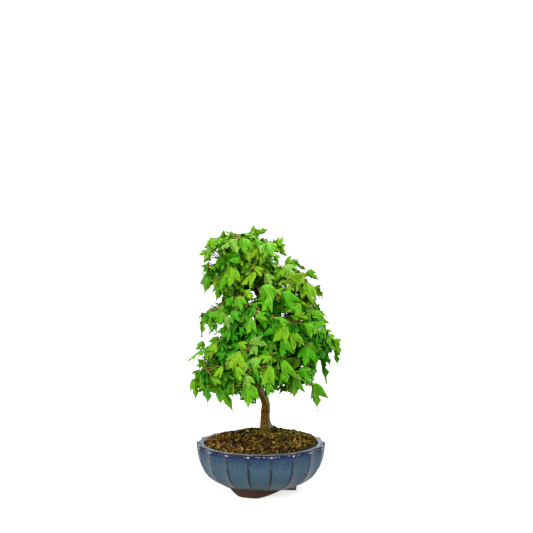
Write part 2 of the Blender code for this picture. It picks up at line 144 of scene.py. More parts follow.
class Finish:
    """A material of one surface, with its own nodes. Constants are set on the shader's own sockets."""

    def __init__(self, name, **constants):
        self.material = bpy.data.materials.new(name)
        self.material.use_nodes = True
        self.tree = self.material.node_tree
        self.shader = self.tree.nodes["Principled BSDF"]
        for socket, value in constants.items():
            self.shader.inputs[socket.replace("_", " ")].default_value = value
        self.place = self.node("ShaderNodeTexCoord", output="Object")
        self.skin = None

    def node(self, kind, settings=None, values=(), output=0):
        made = self.tree.nodes.new(kind)
        for name, value in (settings or {}).items():
            setattr(made, name, value)
        for name, value in values.items() if isinstance(values, dict) else enumerate(values):
            if isinstance(value, Field):
                self.tree.links.new(value.socket, made.inputs[name])
            else:
                made.inputs[name].default_value = value
        return Field(self, made.outputs[output])

    def math(self, operation, *values):
        return self.node("ShaderNodeMath", {"operation": operation}, values)

    def cloud(self, scale, stretch=(1, 1, 1), detail=3.0, spread=1.0):
        """Soft noise about 0.5. The scale is in patches per metre, and spread widens its range."""
        factors = [scale * s for s in stretch]
        place = self.node("ShaderNodeVectorMath", {"operation": "MULTIPLY"}, (self.place, factors))
        made = self.node("ShaderNodeTexNoise", None, {"Vector": place, "Detail": detail})
        return (made - 0.5) * spread + 0.5

    def attribute(self, name):
        return self.node("ShaderNodeAttribute", {"attribute_name": name}, output="Fac")

    def mix(self, share, first, second):
        """The first colour where share is 0 and the second where it is 1."""
        first, second = [c if isinstance(c, Field) else (*c, 1) for c in (first, second)]
        return self.node("ShaderNodeMix", {"data_type": "RGBA"}, {0: share, 6: first, 7: second}, output=2)

    def ground(self, share, first, second):
        """The skin's ground is a mix of two colours."""
        self.skin = self.mix(share, first, second)

    def coat(self, share, colour):
        """Lays a colour over the skin, thick where its share is 1."""
        self.skin = self.mix(share, self.skin, colour)

    def paint(self, **feeds):
        for socket, field in feeds.items():
            self.tree.links.new(field.socket, self.shader.inputs[socket.replace("_", " ")])

    def relief(self, height, depth):
        bump = self.node("ShaderNodeBump", None, {"Height": height, "Distance": depth, "Strength": 1.0})
        self.paint(Normal=bump)


def take_up(name):
    """The object just made, named, alone in the selection and with its place in its mesh."""
    obj = bpy.context.object
    obj.name = name
    obj.data.name = name
    bpy.ops.object.select_all(action="DESELECT")
    obj.select_set(True)
    bpy.context.view_layer.objects.active = obj
    bpy.ops.object.transform_apply(location=True, rotation=True, scale=True)
    return obj


def fit_out(piece, finish, slot_name, *nodes):
    """The piece gets its finish, rides on the one body, and stands for its CAD nodes."""
    piece.data.materials.clear()
    piece.data.materials.append(finish.material)
    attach(piece, "root")
    if nodes:
        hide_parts(*nodes)


def note_on_points(mesh, name, values):
    kept = mesh.attributes.new(name, "FLOAT", "POINT")
    kept.data.foreach_set("value", values)


def turn_faces_out(merge=False):
    """Turns all faces of the piece in hand outwards, with its doubles merged first where it has any."""
    bpy.ops.object.mode_set(mode="EDIT")
    bpy.ops.mesh.select_all(action="SELECT")
    if merge:
        bpy.ops.mesh.remove_doubles(threshold=MERGE_WITHIN)
    bpy.ops.mesh.normals_make_consistent(inside=False)
    bpy.ops.object.mode_set(mode="OBJECT")


def ramp(value, start, length):
    """0 up to the start, then rising evenly to 1 over the length."""
    return min(1.0, max(0.0, (value - start) / length))


def bell(*shares):
    """1 where all shares are 0, and falling smoothly to nothing as they grow."""
    return math.exp(-sum(share**2 for share in shares))


def bowl_radius(height):
    """Radius over the ridges: a tight turn above the base, then nearly upright to the rim."""
    t = (height - BASE_HEIGHT) / (LIP_HEIGHT - BASE_HEIGHT)
    swell = BELLY_SHARE * (1 - (1 - t) ** BELLY_TURN) + (1 - BELLY_SHARE) * t
    return BASE_RADIUS + (RIDGE_RADIUS - BASE_RADIUS) * swell


def bowl_profile():
    """The wall's section from the drain hole outward, up to the lip, over the rim and down inside."""
    section = [(DRAIN_RADIUS, BASE_HEIGHT)]
    section += [(radius * MM, BASE_HEIGHT) for radius in UNDERSIDE_RINGS]
    section.append((BASE_CORNER_RADIUS, BASE_HEIGHT + BASE_CORNER_RISE))
    for i in range(1, WALL_STEPS + 1):
        height = BASE_HEIGHT + (WALL_TOP - BASE_HEIGHT) * (i / WALL_STEPS) ** WALL_CROWDING
        section.append((bowl_radius(height), height))
    section += [(radius * MM, height * MM) for radius, height in RIM_OUTSIDE + RIM_INSIDE]
    section += [(bowl_radius(height * MM) - WALL, height * MM) for height in INSIDE_RINGS]
    section += [(radius * MM, FLOOR_TOP) for radius in FLOOR_RINGS]
    return section + [(DRAIN_RADIUS, FLOOR_TOP), (DRAIN_RADIUS, BASE_HEIGHT)]


def press_flutes(bowl):
    """Presses the flutes into the turned wall, and notes the ridges, the lip and a painted sheen by the
    ridges.
    """
    nearness = []
    painted_sheen = []
    lip = []
    for vertex in bowl.data.vertices:
        x, y, height = vertex.co - BOWL_AXIS
        radius = math.hypot(x, y)
        turn = math.atan2(y, x) / (2 * math.pi) * FLUTES
        flute = math.floor(turn + SEAM_SLACK)
        across = max(0.0, turn - flute)
        across -= RIDGE_CROWDING * math.sin(2 * math.pi * across) / (2 * math.pi)
        lip.append(ramp(radius, *OUTER_LIP))
        share = 0.0
        if radius > bowl_radius(min(height, LIP_HEIGHT)) - WALL / 2:
            share = 1.0
        if height > LIP_HEIGHT:
            share = ramp(radius, MOUTH_RADIUS, RIM_OUTER_EDGE - MOUTH_RADIUS)
        if height < BASE_HEIGHT + UNDERSIDE_SLACK:
            share = ramp(radius, *FLUTES_UNDERNEATH)
        hollow = math.hypot(math.sin(math.pi * across), RIDGE_ROUNDING) - RIDGE_ROUNDING
        depth = FLUTE_DEPTH * (FLUTE_SHARE_AT_BASE + (1 - FLUTE_SHARE_AT_BASE) * height / RIM_HEIGHT)
        radius -= depth * share * hollow
        angle = (flute + across) * 2 * math.pi / FLUTES + FLUTE_START
        vertex.co = BOWL_AXIS + Vector((radius * math.cos(angle), radius * math.sin(angle), height))
        away = min(across, 1 - across) * 2 * math.pi * radius / FLUTES
        nearness.append(share * bell(away / RIDGE_WIDTH))
        # A painted sheen in bands beside the ridges, on the sides of the bowl and weaker on the right.
        sheen_on_side = SHEEN_ON_RIGHT if math.cos(angle) > 0 else 1
        aside = ramp(abs(math.cos(angle)), *SHEEN_FROM_ASIDE)
        painted_sheen.append(sheen_on_side * share * max(0.0, 1 - away / SHEEN_BAND) * aside)
    note_on_points(bowl.data, "ridge", nearness)
    note_on_points(bowl.data, "painted_sheen_band", painted_sheen)
    note_on_points(bowl.data, "lip", lip)


bpy.ops.object.select_all(action="DESELECT")
bpy.ops.mesh.primitive_plane_add(size=MM, location=(0, 0, 0))
bpy.ops.object.mode_set(mode="EDIT")
bpy.ops.mesh.merge(type="CENTER")
section = [BOWL_AXIS + Vector((r, 0, z)) for r, z in bowl_profile()]
bpy.ops.transform.translate(value=section[0])
for start, end in zip(section, section[1:]):
    bpy.ops.mesh.extrude_region_move(TRANSFORM_OT_translate={"value": end - start})
bpy.ops.mesh.select_all(action="SELECT")
bpy.ops.mesh.spin(steps=FLUTES * STEPS_PER_FLUTE, angle=2 * math.pi, center=BOWL_AXIS, axis=(0, 0, 1))
bpy.ops.mesh.select_all(action="SELECT")
bpy.ops.mesh.remove_doubles(threshold=MERGE_WITHIN)
bpy.ops.object.mode_set(mode="OBJECT")
bowl = take_up("bowl_glazed")
press_flutes(bowl)
turn_faces_out()
bpy.ops.object.shade_smooth_by_angle(angle=math.radians(50))

glaze = Finish("blue_grey_glaze_finish", Roughness=0.2, Specular_IOR_Level=0.09)
height = glaze.node("ShaderNodeSeparateXYZ", None, (glaze.place,), output="Z") * (1 / MM)
clouds = glaze.cloud(45, detail=4.0, spread=2.4)
mottle = glaze.cloud(210, detail=6.0, spread=3.8)
speck = glaze.cloud(640, detail=3.0, spread=3.2)
runs = glaze.cloud(260, stretch=(1, 1, 0.2), detail=4.0, spread=2.8)
glaze.ground(mottle * 0.7 + clouds * 0.3, (0.004, 0.0135, 0.0325), (0.021, 0.0485, 0.067))
glaze.coat(speck.between(0.45, 1.0) * 0.75, (0.068, 0.112, 0.130))
glaze.coat(speck.between(0.35, -0.2) * 0.6, (0.003, 0.009, 0.020))
glaze.coat(runs.between(0.45, 0.0) * 0.75, (0.002, 0.006, 0.020))
glaze.coat((height + clouds * 16.0).between(58, 78) * 0.7, (0.003, 0.011, 0.036))
# Darker and tealer towards the bottom, then a painted shade darkest just above the bare base.
glaze.coat((height + mottle * 8.0).between(36, 14) * 0.55, (0.009, 0.021, 0.022))
glaze.coat((height + mottle * 3.0).between(21, 13) * 0.75, (0.003, 0.009, 0.010))
# A painted sheen: pale bands beside the ridges on the bowl's sides.
glaze.coat(glaze.attribute("painted_sheen_band") * runs.between(0.1, 0.8) * 0.7, (0.085, 0.115, 0.105))
# The dark pool under the rim, its brown upper edge, and small painted glints of the lamps along it.
below_lip = height.between(74.95, 74.6)
under_rim = (height + mottle * 5.0 - speck * 1.5).between(69.0, 73.0) * below_lip
glaze.coat(under_rim, (0.0008, 0.0035, 0.026))
edge = (height + runs * 1.2).between(72.4, 73.4) * below_lip
glaze.coat(edge * (runs + speck * 0.3).between(0.2, 0.55), (0.006, 0.0025, 0.0015))
near_ridge = glaze.attribute("ridge").between(0.15, 0.6)
glint = (speck * 0.5 + clouds * 0.5 + near_ridge * 0.4).between(0.65, 0.83)
glint = glint * (height - mottle).between(70.6, 71.4) * (height - mottle).between(73.1, 72.4)
glaze.coat(glint * 0.65, (0.45, 0.5, 0.58))
# The brown of the ridges where the glaze is thin, the rim's flat top, and the bare clay at the base.
worn = (clouds * 0.8 + mottle * 0.5 + height.between(70, 40) * 0.25).between(0.35, 0.85)
glaze.coat(near_ridge * worn * (1 - under_rim * 0.6) * 0.92, (0.009, 0.0035, 0.003))
rim_top = height.between(74.7, 74.97)
glaze.coat(rim_top, glaze.mix(runs, (0.002, 0.003, 0.014), (0.016, 0.010, 0.010)))
pale_top = glaze.mix(mottle, (0.03, 0.055, 0.075), (0.085, 0.125, 0.15))
glaze.coat(rim_top * (1 - glaze.attribute("lip") * 0.9), pale_top)
bare = (height + speck * 1.6).between(13.6, 12.4)
glaze.coat(bare, (0.012, 0.006, 0.004))
gloss = bare * 0.3 + (1 - under_rim) * 0.25 + speck * 0.1 + 0.1
glaze.paint(Base_Color=glaze.skin, Roughness=gloss)
glaze.relief(mottle * 0.6 + speck * 0.25, 0.09 * MM)
fit_out(bowl, glaze, "blue_grey_glaze", "bowl")


# The feet: three brackets of the same stoneware, pressed on under the bowl before firing and left bare.
# Each has a flat sole whose two ends sweep up into the bowl's underside.
FOOT_COUNT = 3
FIRST_FOOT_BEARING = math.radians(-21.5)
FOOT_INNER = 33 * MM
FOOT_OUTER = 54.5 * MM
FOOT_SOLE_HALF = math.radians(13.5)
FOOT_TOP_HALF = math.radians(38)
FOOT_LONG_SIDE = 1.45
FOOT_SUNK = 1 * MM
FOOT_SWEEPS = (1.3, 1.5)
FOOT_END_SUNK = 0.5 * MM
FOOT_SPLAY = 1.5 * MM
FOOT_WEAR = 0.25 * MM
FOOT_CUTS = 19

bpy.ops.object.select_all(action="DESELECT")
bpy.ops.mesh.primitive_cube_add(size=2, location=(0, 0, 0))
bpy.ops.object.mode_set(mode="EDIT")
bpy.ops.mesh.subdivide(number_cuts=FOOT_CUTS)
bpy.ops.object.mode_set(mode="OBJECT")
foot = take_up("foot")
sole_share = FOOT_SOLE_HALF / FOOT_TOP_HALF
cube_points = [v.co.copy() for v in foot.data.vertices]
for i in range(FOOT_COUNT):
    if i:
        bpy.ops.object.duplicate()
    piece = take_up(f"foot_{i + 1}")
    for vertex, (along, out, up) in zip(piece.data.vertices, cube_points):
        beyond = max(0.0, abs(along) - sole_share) / (1 - sole_share)
        stretch = 1 + (FOOT_LONG_SIDE - 1) * beyond if along > 0 else 1
        bearing = FIRST_FOOT_BEARING + 2 * math.pi * i / FOOT_COUNT + along * FOOT_TOP_HALF * stretch
        low = (BASE_HEIGHT + FOOT_END_SUNK) * beyond ** FOOT_SWEEPS[along > 0]
        height = low + (BASE_HEIGHT + FOOT_SUNK - low) * (up + 1) / 2
        radius = FOOT_INNER + (FOOT_OUTER - FOOT_INNER) * (out + 1) / 2
        radius += FOOT_SPLAY * (height / BASE_HEIGHT) * out
        wear = noise.noise(Vector((bearing * 40, height * 300, out))) * FOOT_WEAR
        radius += wear * out
        vertex.co = BOWL_AXIS + Vector((math.sin(bearing) * radius, -math.cos(bearing) * radius, height))
    turn_faces_out(merge=True)
    bpy.ops.object.shade_smooth_by_angle(angle=math.radians(40))

clay = Finish("bare_clay_finish", Roughness=0.5, Specular_IOR_Level=0.06)
grain = clay.cloud(500, detail=4.0, spread=2.0)
patches = clay.cloud(120, detail=3.0, spread=2.0)
clay.ground(patches, (0.010, 0.003, 0.001), (0.036, 0.013, 0.007))
clay.coat(grain * 0.3, (0.070, 0.042, 0.034))
clay.paint(Base_Color=clay.skin, Roughness=0.35 + grain * 0.3)
clay.relief(grain, 0.3 * MM)
for i in range(FOOT_COUNT):
    fit_out(bpy.data.objects[f"foot_{i + 1}"], clay, "blue_grey_glaze")


# The soil: gritty loam heaped to a low mound round the trunk, dark underneath, with loose grains of fired
# clay and bark on top. Each grain is a small lump of a few faces, and each colour of grain is one piece.
SOIL_EDGE = 74 * MM
MOUND_TOP = 88.4 * MM
MOUND_FLAT_RADIUS = 26 * MM
MOUND_CURVE = 1.45
LUMPS_PER_METRE = 60
LUMP_HEIGHT = 1.9 * MM
# Where the soil is heaped over roots: right and half width, back and half depth, and height, in mm.
ROOT_MOUNDS = ((15, 13, 12, 9, 10.5), (-16, 18, 12, 12, 4.5))
BED_TILT = 4 * MM
BED_RADIUS = 87 * MM
BED_SIDES = 120
BED_RINGS = 35
BED_SUNK = 0.8 * MM
BED_BOTTOM = 22 * MM
BED_TAPER = 0.82
GRAIN_SIZE = (1.0, 3.9)
GRAIN_SHAPES = 6
GRAIN_BUMPS = (0.68, 1.12)
GRAIN_WIDTH = (0.6, 0.95)
GRAIN_THICKNESS = (0.5, 0.8)
GRAIN_TIPPED = 0.4
ANY_TURN = (0, 6.3)
GRAINS = 3100
GRAIN_SEED = 11
GRAIN_LIFT = (-1.3, 0.9)
GOLDEN_TURN = math.pi * (3 - math.sqrt(5))
# The middle of the painted shade under the crown, in mm right and back of the bowl's axis with its half
# sizes.
SHADED_MIDDLE = ((8, 36), (-18, 26))
LEAST_ODDS = 0.03
GRAIN_COLOURS = {
    "dark": (0.009, 0.004, 0.0008),
    "brown": (0.050, 0.025, 0.003),
    "ochre": (0.125, 0.062, 0.005),
    "tan": (0.178, 0.118, 0.034),
    "grey": (0.070, 0.054, 0.024),
    "mossy": (0.052, 0.055, 0.002),
}


def bed_height(x, y):
    """The mound's top at a place right of and behind the bowl's axis."""
    rise = 1 - ramp(math.hypot(x, y), MOUND_FLAT_RADIUS, MOUTH_RADIUS - MOUND_FLAT_RADIUS) ** MOUND_CURVE
    lumps = noise.fractal(Vector((x, y, 0)) * LUMPS_PER_METRE, 1.0, 2.0, 3) * LUMP_HEIGHT
    over_roots = 0.0
    for right, wide, back, deep, top in ROOT_MOUNDS:
        over_roots += top * MM * bell((x - right * MM) / (wide * MM), (y - back * MM) / (deep * MM))
    tilt = BED_TILT * max(0.0, x / BED_RADIUS)
    return SOIL_EDGE + (MOUND_TOP - SOIL_EDGE) * rise + lumps * min(1.0, rise * 3) + over_roots + tilt


bpy.ops.object.select_all(action="DESELECT")
bpy.ops.mesh.primitive_circle_add(vertices=BED_SIDES, radius=BED_RADIUS, fill_type="NGON", location=BOWL_AXIS)
bpy.ops.object.mode_set(mode="EDIT")
for _ in range(BED_RINGS - 1):
    bpy.ops.mesh.inset(thickness=BED_RADIUS / BED_RINGS)
bpy.ops.mesh.poke()
bpy.ops.object.mode_set(mode="OBJECT")
bed = take_up("soil_bed")
for vertex in bed.data.vertices:
    x, y, _ = vertex.co - BOWL_AXIS
    vertex.co.z = bed_height(x, y) - BED_SUNK
bpy.ops.object.mode_set(mode="EDIT")
bpy.ops.mesh.select_all(action="DESELECT")
bpy.ops.mesh.select_non_manifold()
bpy.ops.mesh.extrude_region_move()
bottom = BOWL_AXIS + Vector((0, 0, BED_BOTTOM))
bpy.ops.transform.resize(value=(BED_TAPER, BED_TAPER, 0), center_override=bottom)
bpy.ops.mesh.edge_face_add()
turn_faces_out()
bpy.ops.object.shade_smooth()

loam = Finish("loam_finish", Roughness=0.95, Specular_IOR_Level=0.05)
crumbs = loam.cloud(420, detail=5.0, spread=2.0)
loam.paint(Base_Color=loam.mix(crumbs, (0.005, 0.0025, 0.0006), (0.028, 0.014, 0.003)))
loam.relief(crumbs, 0.6 * MM)
fit_out(bed, loam, "grit_soil", "soil")


def many_copies(name, shapes, faces, placings):
    """One piece of many copies. Each placing has a shape's number, a 3 by 3 turn with size, and a place."""
    points = [shapes[kind] @ np.array(turn).T + np.array(place) for kind, turn, place in placings]
    count = len(shapes[0])
    corners = np.concatenate([np.array(faces) + count * i for i in range(len(placings))])
    mesh = bpy.data.meshes.new(name)
    mesh.from_pydata(np.concatenate(points).tolist(), [], corners.tolist())
    piece = bpy.data.objects.new(name, mesh)
    bpy.context.scene.collection.objects.link(piece)
    bpy.context.view_layer.objects.active = piece
    return take_up(name)


def points_of(obj):
    return np.array([v.co for v in obj.data.vertices])


bpy.ops.object.select_all(action="DESELECT")
bpy.ops.mesh.primitive_ico_sphere_add(subdivisions=1, radius=1, location=(0, 0, 0))
lump = take_up("lump")
lump_faces = [tuple(face.vertices) for face in lump.data.polygons]
lump_points = points_of(lump)
bpy.ops.object.delete()
rng = random.Random(GRAIN_SEED)
grain_shapes = []
for _ in range(GRAIN_SHAPES):
    reach = np.array([[rng.uniform(*GRAIN_BUMPS)] for _ in lump_points])
    grain_shapes.append(lump_points * reach * [1, rng.uniform(*GRAIN_WIDTH), rng.uniform(*GRAIN_THICKNESS)])
dealt = {colour: [] for colour in GRAIN_COLOURS}
for i in range(GRAINS):
    radius = (BED_RADIUS - 1 * MM) * math.sqrt((i + rng.random()) / GRAINS)
    angle = i * GOLDEN_TURN + rng.uniform(-0.3, 0.3)
    x, y = radius * math.cos(angle), radius * math.sin(angle)
    size = rng.uniform(*GRAIN_SIZE) * rng.uniform(0.75, 1.0) * MM
    turn = Matrix.Rotation(rng.uniform(*ANY_TURN), 3, "Z")
    turn @= Matrix.Rotation(rng.gauss(0, GRAIN_TIPPED), 3, "X")
    place = BOWL_AXIS + Vector((x, y, bed_height(x, y) + rng.uniform(*GRAIN_LIFT) * MM))
    # Damp patches at random, more dark grains towards the right and the front, and a painted shade in the
    # middle under the crown.
    damp_and_shade = noise.noise(Vector((x, y, 3)) * 45) * 1.2 + 0.4 * (x - y) / BED_RADIUS
    damp_and_shade += 0.4 * bell(*((at - middle * MM) / (half * MM) for at, (middle, half) in zip((x, y), SHADED_MIDDLE)))
    # The odds of each colour in its order above: dark and mossy grains lie where it is damp or painted as
    # shaded, ochre and tan ones where it is dry and open.
    odds = [1.6 + 1.6 * damp_and_shade, 1.6, 0.7 - damp_and_shade, 0.28 - 0.5 * damp_and_shade, 0.4]
    odds.append(0.3 + max(0, damp_and_shade) * (0.6 + x / BED_RADIUS))
    colour = rng.choices(list(dealt), [max(LEAST_ODDS, o) for o in odds])[0]
    dealt[colour].append((rng.randrange(GRAIN_SHAPES), turn * size, place))
for colour, tint in GRAIN_COLOURS.items():
    piece = many_copies("grains_" + colour, grain_shapes, lump_faces, dealt[colour])
    grit = Finish(f"{colour}_grain_finish", Roughness=0.85, Specular_IOR_Level=0.03)
    pores = grit.cloud(900, detail=3.0, spread=2.2)
    per_grain = grit.cloud(300, detail=0.0, spread=2.0)
    shades = [tuple(c * f for c in tint) for f in (0.55, 1.35)]
    grit.paint(Base_Color=grit.mix(pores * 0.5 + per_grain * 0.5, *shades))
    grit.relief(pores, 0.15 * MM)
    fit_out(piece, grit, "grit_soil")


# The moss: small green cushions that grow on the damp grains at the trunk's foot and over its roots. Each is
# many tufts of the grains' own lumps, and stands highest in its middle.
# Each patch has its middle right and back and its half sizes in mm, how high it climbs, and how many tufts.
MOSS_PATCHES = (
    ((5.5, -4), (8, 5.5), 4.5, 420),
    ((14, 8), (9, 7), 1.0, 70),
    ((25, 10), (11, 8), 0.8, 60),
    ((38, -12), (20, 16), 0.5, 130),
    ((20, -26), (16, 10), 0.4, 60),
    ((-8, 6), (7, 6), 0.8, 80),
    ((60, 20), (16, 24), 0.4, 60),
)
MOSS_SIZE = (0.6, 1.5)
MOSS_GATHER = 0.45
MOSS_LIFT = 0.3 * MM
ANY_TIP = (0, 3.1)
MOSS_SEED = 23

rng = random.Random(MOSS_SEED)
tufts = []
for (right, back), (wide, deep), climb, count in MOSS_PATCHES:
    for _ in range(count):
        u, v = rng.gauss(0, MOSS_GATHER), rng.gauss(0, MOSS_GATHER)
        x, y = (right + u * wide) * MM, (back + v * deep) * MM
        lift = climb * max(0.0, 1 - math.hypot(u, v)) * rng.random() * MM
        turn = Matrix.Rotation(rng.uniform(*ANY_TURN), 3, "Z")
        turn @= Matrix.Rotation(rng.uniform(*ANY_TIP), 3, "X")
        place = BOWL_AXIS + Vector((x, y, bed_height(x, y) + lift + MOSS_LIFT))
        tufts.append((rng.randrange(GRAIN_SHAPES), turn * rng.uniform(*MOSS_SIZE) * MM, place))
moss = many_copies("moss_tufts", grain_shapes, lump_faces, tufts)
green_moss = Finish("moss_finish", Roughness=0.95, Specular_IOR_Level=0.05)
tips = green_moss.cloud(800, detail=3.0, spread=2.4)
beds = green_moss.cloud(90, detail=2.0, spread=2.6)
tint = green_moss.mix(tips * 0.6 + beds * 0.4, (0.014, 0.016, 0.001), (0.105, 0.115, 0.004))
green_moss.paint(Base_Color=tint)
green_moss.relief(tips, 0.4 * MM)
fit_out(moss, green_moss, "grit_soil")


# The trunk: smooth grey-brown maple bark over a bent, tapering stem, grown together with its surface roots.
# It ends flat on the mound at its foot, and its tip carries the top of the crown.
# Each bend has its height, and how far right and back of the bowl's axis it is, in mm.
TRUNK_BENDS = (
    (88, 6.5, 8), (112, 6.6, 7), (127, 7.6, 5), (135, 7.2, 4), (144, 4, 3), (153, -1.5, 2), (164, -8, 1),
    (182, -13, -1), (206, -8, 0), (232, 1, 3), (258, 6, 4), (288, 1, 3), (320, -12, 0), (348, -24, 0),
)
TRUNK_RADIUS = 7.3 * MM
TRUNK_TIP_RADIUS = 1.9 * MM
TRUNK_TAPER = 0.8
TRUNK_RINGS = 260
TRUNK_BEVEL = 22
FLARE_HEIGHT = 12 * MM
FLARE = 1.2 * MM
# Each surface root has its bearing in degrees, its reach in mm, and its width in degrees.
ROOTS = ((14, 26, 22), (118, 5, 30), (200, 2.5, 26), (285, 3, 30))
TRUNK_FOOT = TRUNK_BENDS[0][0] * MM
TRUNK_TIP = TRUNK_BENDS[-1][0] * MM
# The raised ring round the stem, and the waves of its bark: how fine they are round it and up it, and how
# high they stand in mm.
RING_HEIGHT = 122 * MM
RING_WIDTH = 2.2 * MM
RING_RISE = 0.4
BARK_WAVES = ((2.4, 60, 0.45), (7, 190, 0.28), (1, 30, 0.55))
CAP_CORE = 0.2


def smooth_path(stations, count):
    """Points evenly spaced in parameter on a smooth curve through the stations."""
    held = [2 * stations[0] - stations[1], *stations, 2 * stations[-1] - stations[-2]]
    path = []
    for step in range(count):
        place = step * (len(stations) - 1) / (count - 1)
        span = min(int(place), len(stations) - 2)
        t = place - span
        a, b, c, d = held[span : span + 4]
        bend = (2 * a - 5 * b + 4 * c - d) * t**2 + (3 * b - a - 3 * c + d) * t**3
        path.append((2 * b + (c - a) * t + bend) / 2)
    return path


def trunk_radius(height):
    left = max(0.0, (TRUNK_TIP - height) / (TRUNK_TIP - TRUNK_FOOT))
    return TRUNK_TIP_RADIUS + (TRUNK_RADIUS - TRUNK_TIP_RADIUS) * left**TRUNK_TAPER


def flare_at(height, bearing):
    """How far the foot of the trunk spreads at a height and bearing, with its surface roots."""
    fade = math.exp(-max(0.0, height - TRUNK_FOOT) / FLARE_HEIGHT)
    spread = FLARE
    for root_bearing, reach, width in ROOTS:
        away = (math.degrees(bearing) - root_bearing + 180) % 360 - 180
        spread += reach * MM * bell(away / width) * fade
    return spread * fade


def grow_wood(name, runs, bevel):
    """One piece of round limbs. Each run is a list of points with the radius at each."""
    bpy.ops.object.select_all(action="DESELECT")
    bpy.ops.curve.primitive_nurbs_path_add(location=(0, 0, 0))
    curve = bpy.context.object.data
    curve.splines.clear()
    for points, radii in runs:
        spline = curve.splines.new("POLY")
        spline.points.add(len(points) - 1)
        for knot, point, radius in zip(spline.points, points, radii):
            knot.co = (*point, 1)
            knot.radius = radius
    curve.twist_mode = "MINIMUM"
    curve.bevel_depth = 1.0
    curve.bevel_resolution = bevel
    curve.use_fill_caps = True
    bpy.ops.object.convert(target="MESH")
    bpy.ops.object.shade_smooth()
    return take_up(name)


stations = [BOWL_AXIS + Vector((x, y, z)) * MM for z, x, y in TRUNK_BENDS]
trunk_path = smooth_path(stations, TRUNK_RINGS)
trunk = grow_wood("trunk_bark", [(trunk_path, [trunk_radius(p.z) for p in trunk_path])], TRUNK_BEVEL)
lit_side = [0.0] * len(trunk.data.vertices)
for vertex in trunk.data.vertices:
    middle = min(trunk_path, key=lambda p: (p - vertex.co).length_squared)
    out = vertex.co - middle
    if out.length < CAP_CORE * trunk_radius(middle.z):
        continue
    bearing = math.atan2(out.y, out.x)
    way = out.normalized()
    # How far the point faces right, where the painted highlight falls.
    lit_side[vertex.index] = way.x
    uneven = RING_RISE * bell((middle.z - RING_HEIGHT) / RING_WIDTH)
    for around, upward, rise in BARK_WAVES:
        uneven += noise.noise(Vector((way.x * around, way.y * around, middle.z * upward))) * rise
    scale = trunk_radius(middle.z) / TRUNK_RADIUS
    vertex.co += way * (flare_at(middle.z, bearing) + uneven * scale * MM)
note_on_points(trunk.data, "lit_side", lit_side)

bark = Finish("grey_brown_bark_finish", Roughness=0.75, Specular_IOR_Level=0.03)
tall = bark.node("ShaderNodeSeparateXYZ", None, (bark.place,), output="Z") * (1 / MM)
long_streaks = bark.cloud(420, stretch=(1, 1, 0.16), detail=4.0, spread=2.4)
blotches = bark.cloud(110, detail=3.0, spread=2.2)
fine = bark.cloud(1300, stretch=(1, 1, 0.5), detail=2.0, spread=2.0)
bark.ground(long_streaks, (0.024, 0.009, 0.0005), (0.115, 0.052, 0.004))
bark.coat(long_streaks.between(0.35, 0.0) * 0.7, (0.014, 0.006, 0.001))
bark.coat(blotches.between(0.5, 1.0) * 0.5, (0.12, 0.088, 0.018))
bark.coat(fine.between(0.6, 1.1) * 0.4, (0.13, 0.095, 0.038))
# A painted highlight down the right side and on the upper trunk, scurf at the foot, the dark ring, and moss
# near the soil.
right_side_highlight = bark.attribute("lit_side") + long_streaks * 0.5 + tall.between(124, 146) * 0.45
bark.coat(right_side_highlight.between(0.75, 1.2) * 0.8, (0.20, 0.185, 0.10))
bark.coat(blotches.between(0.55, 0.85) * tall.between(116, 98) * 0.7, (0.15, 0.125, 0.075))
bark.coat(abs(tall - 122.5).between(2.6, 0.6) * 0.55, (0.016, 0.009, 0.004))
bark.coat((96.0 - tall + blotches * 8.0).between(0.0, 9.0) * 0.7, (0.026, 0.032, 0.002))
bark.paint(Base_Color=bark.skin)
bark.relief(long_streaks * 0.7 + fine * 0.4, 0.5 * MM)
fit_out(trunk, bark, "grey_brown_bark", "trunk")


# The boughs: twelve tapering limbs of the same bark, grown out of the trunk at their own heights.
# Each climbs a little as it leaves, then levels out to where its mass of foliage begins.
BOUGH_BASE_RADIUS = 2.7 * MM
BOUGH_TIP_RADIUS = 1.6 * MM
BOUGH_POINTS = 26
BOUGH_RISE = 0.16
BOUGH_BEVEL = 6
BOUGH_KNOTS = 0.25 * MM
BOUGH_COLLAR = 1.3 * MM
COLLAR_FADE = 14
BOUGH_UNEVEN = 0.3 * MM
ENTRY_SHARE = 0.62
# Each mass has its name, the height on the trunk where its bough leaves, its middle and its half sizes, in mm
# from the bowl's axis: right, back and up. The last one grows from the trunk's tip.
MASSES = (
    ("low_left", 150, (-63, -24, 189), (51, 52, 62)),
    ("low_right", 160, (72, -18, 182), (40, 50, 54)),
    ("low_front", 168, (-9, -56, 196), (50, 47, 60)),
    ("low_back_left", 162, (-38, 54, 192), (55, 50, 56)),
    ("low_back_right", 176, (44, 56, 196), (51, 48, 54)),
    ("mid_left", 214, (-54, -10, 266), (47, 50, 46)),
    ("mid_right", 200, (74, -2, 240), (51, 56, 60)),
    ("mid_front", 226, (6, -50, 272), (54, 47, 52)),
    ("mid_back", 236, (2, 54, 272), (57, 48, 54)),
    ("high_right", 266, (46, -4, 316), (50, 54, 54)),
    ("high_back", 294, (-18, 42, 336), (52, 46, 50)),
    ("crown_left", 306, (-54, -12, 348), (46, 50, 58)),
    ("crown_top", None, (-12, -14, 370), (51, 50, 43)),
)


def arch(start, end, rise, count):
    """Points on a curve that leaves its start a little upwards and levels out towards its end."""
    crest = start.lerp(end, 0.5) + Vector((0, 0, rise))
    steps = [i / (count - 1) for i in range(count)]
    return [start * (1 - t) ** 2 + crest * (2 * t * (1 - t)) + end * t**2 for t in steps]


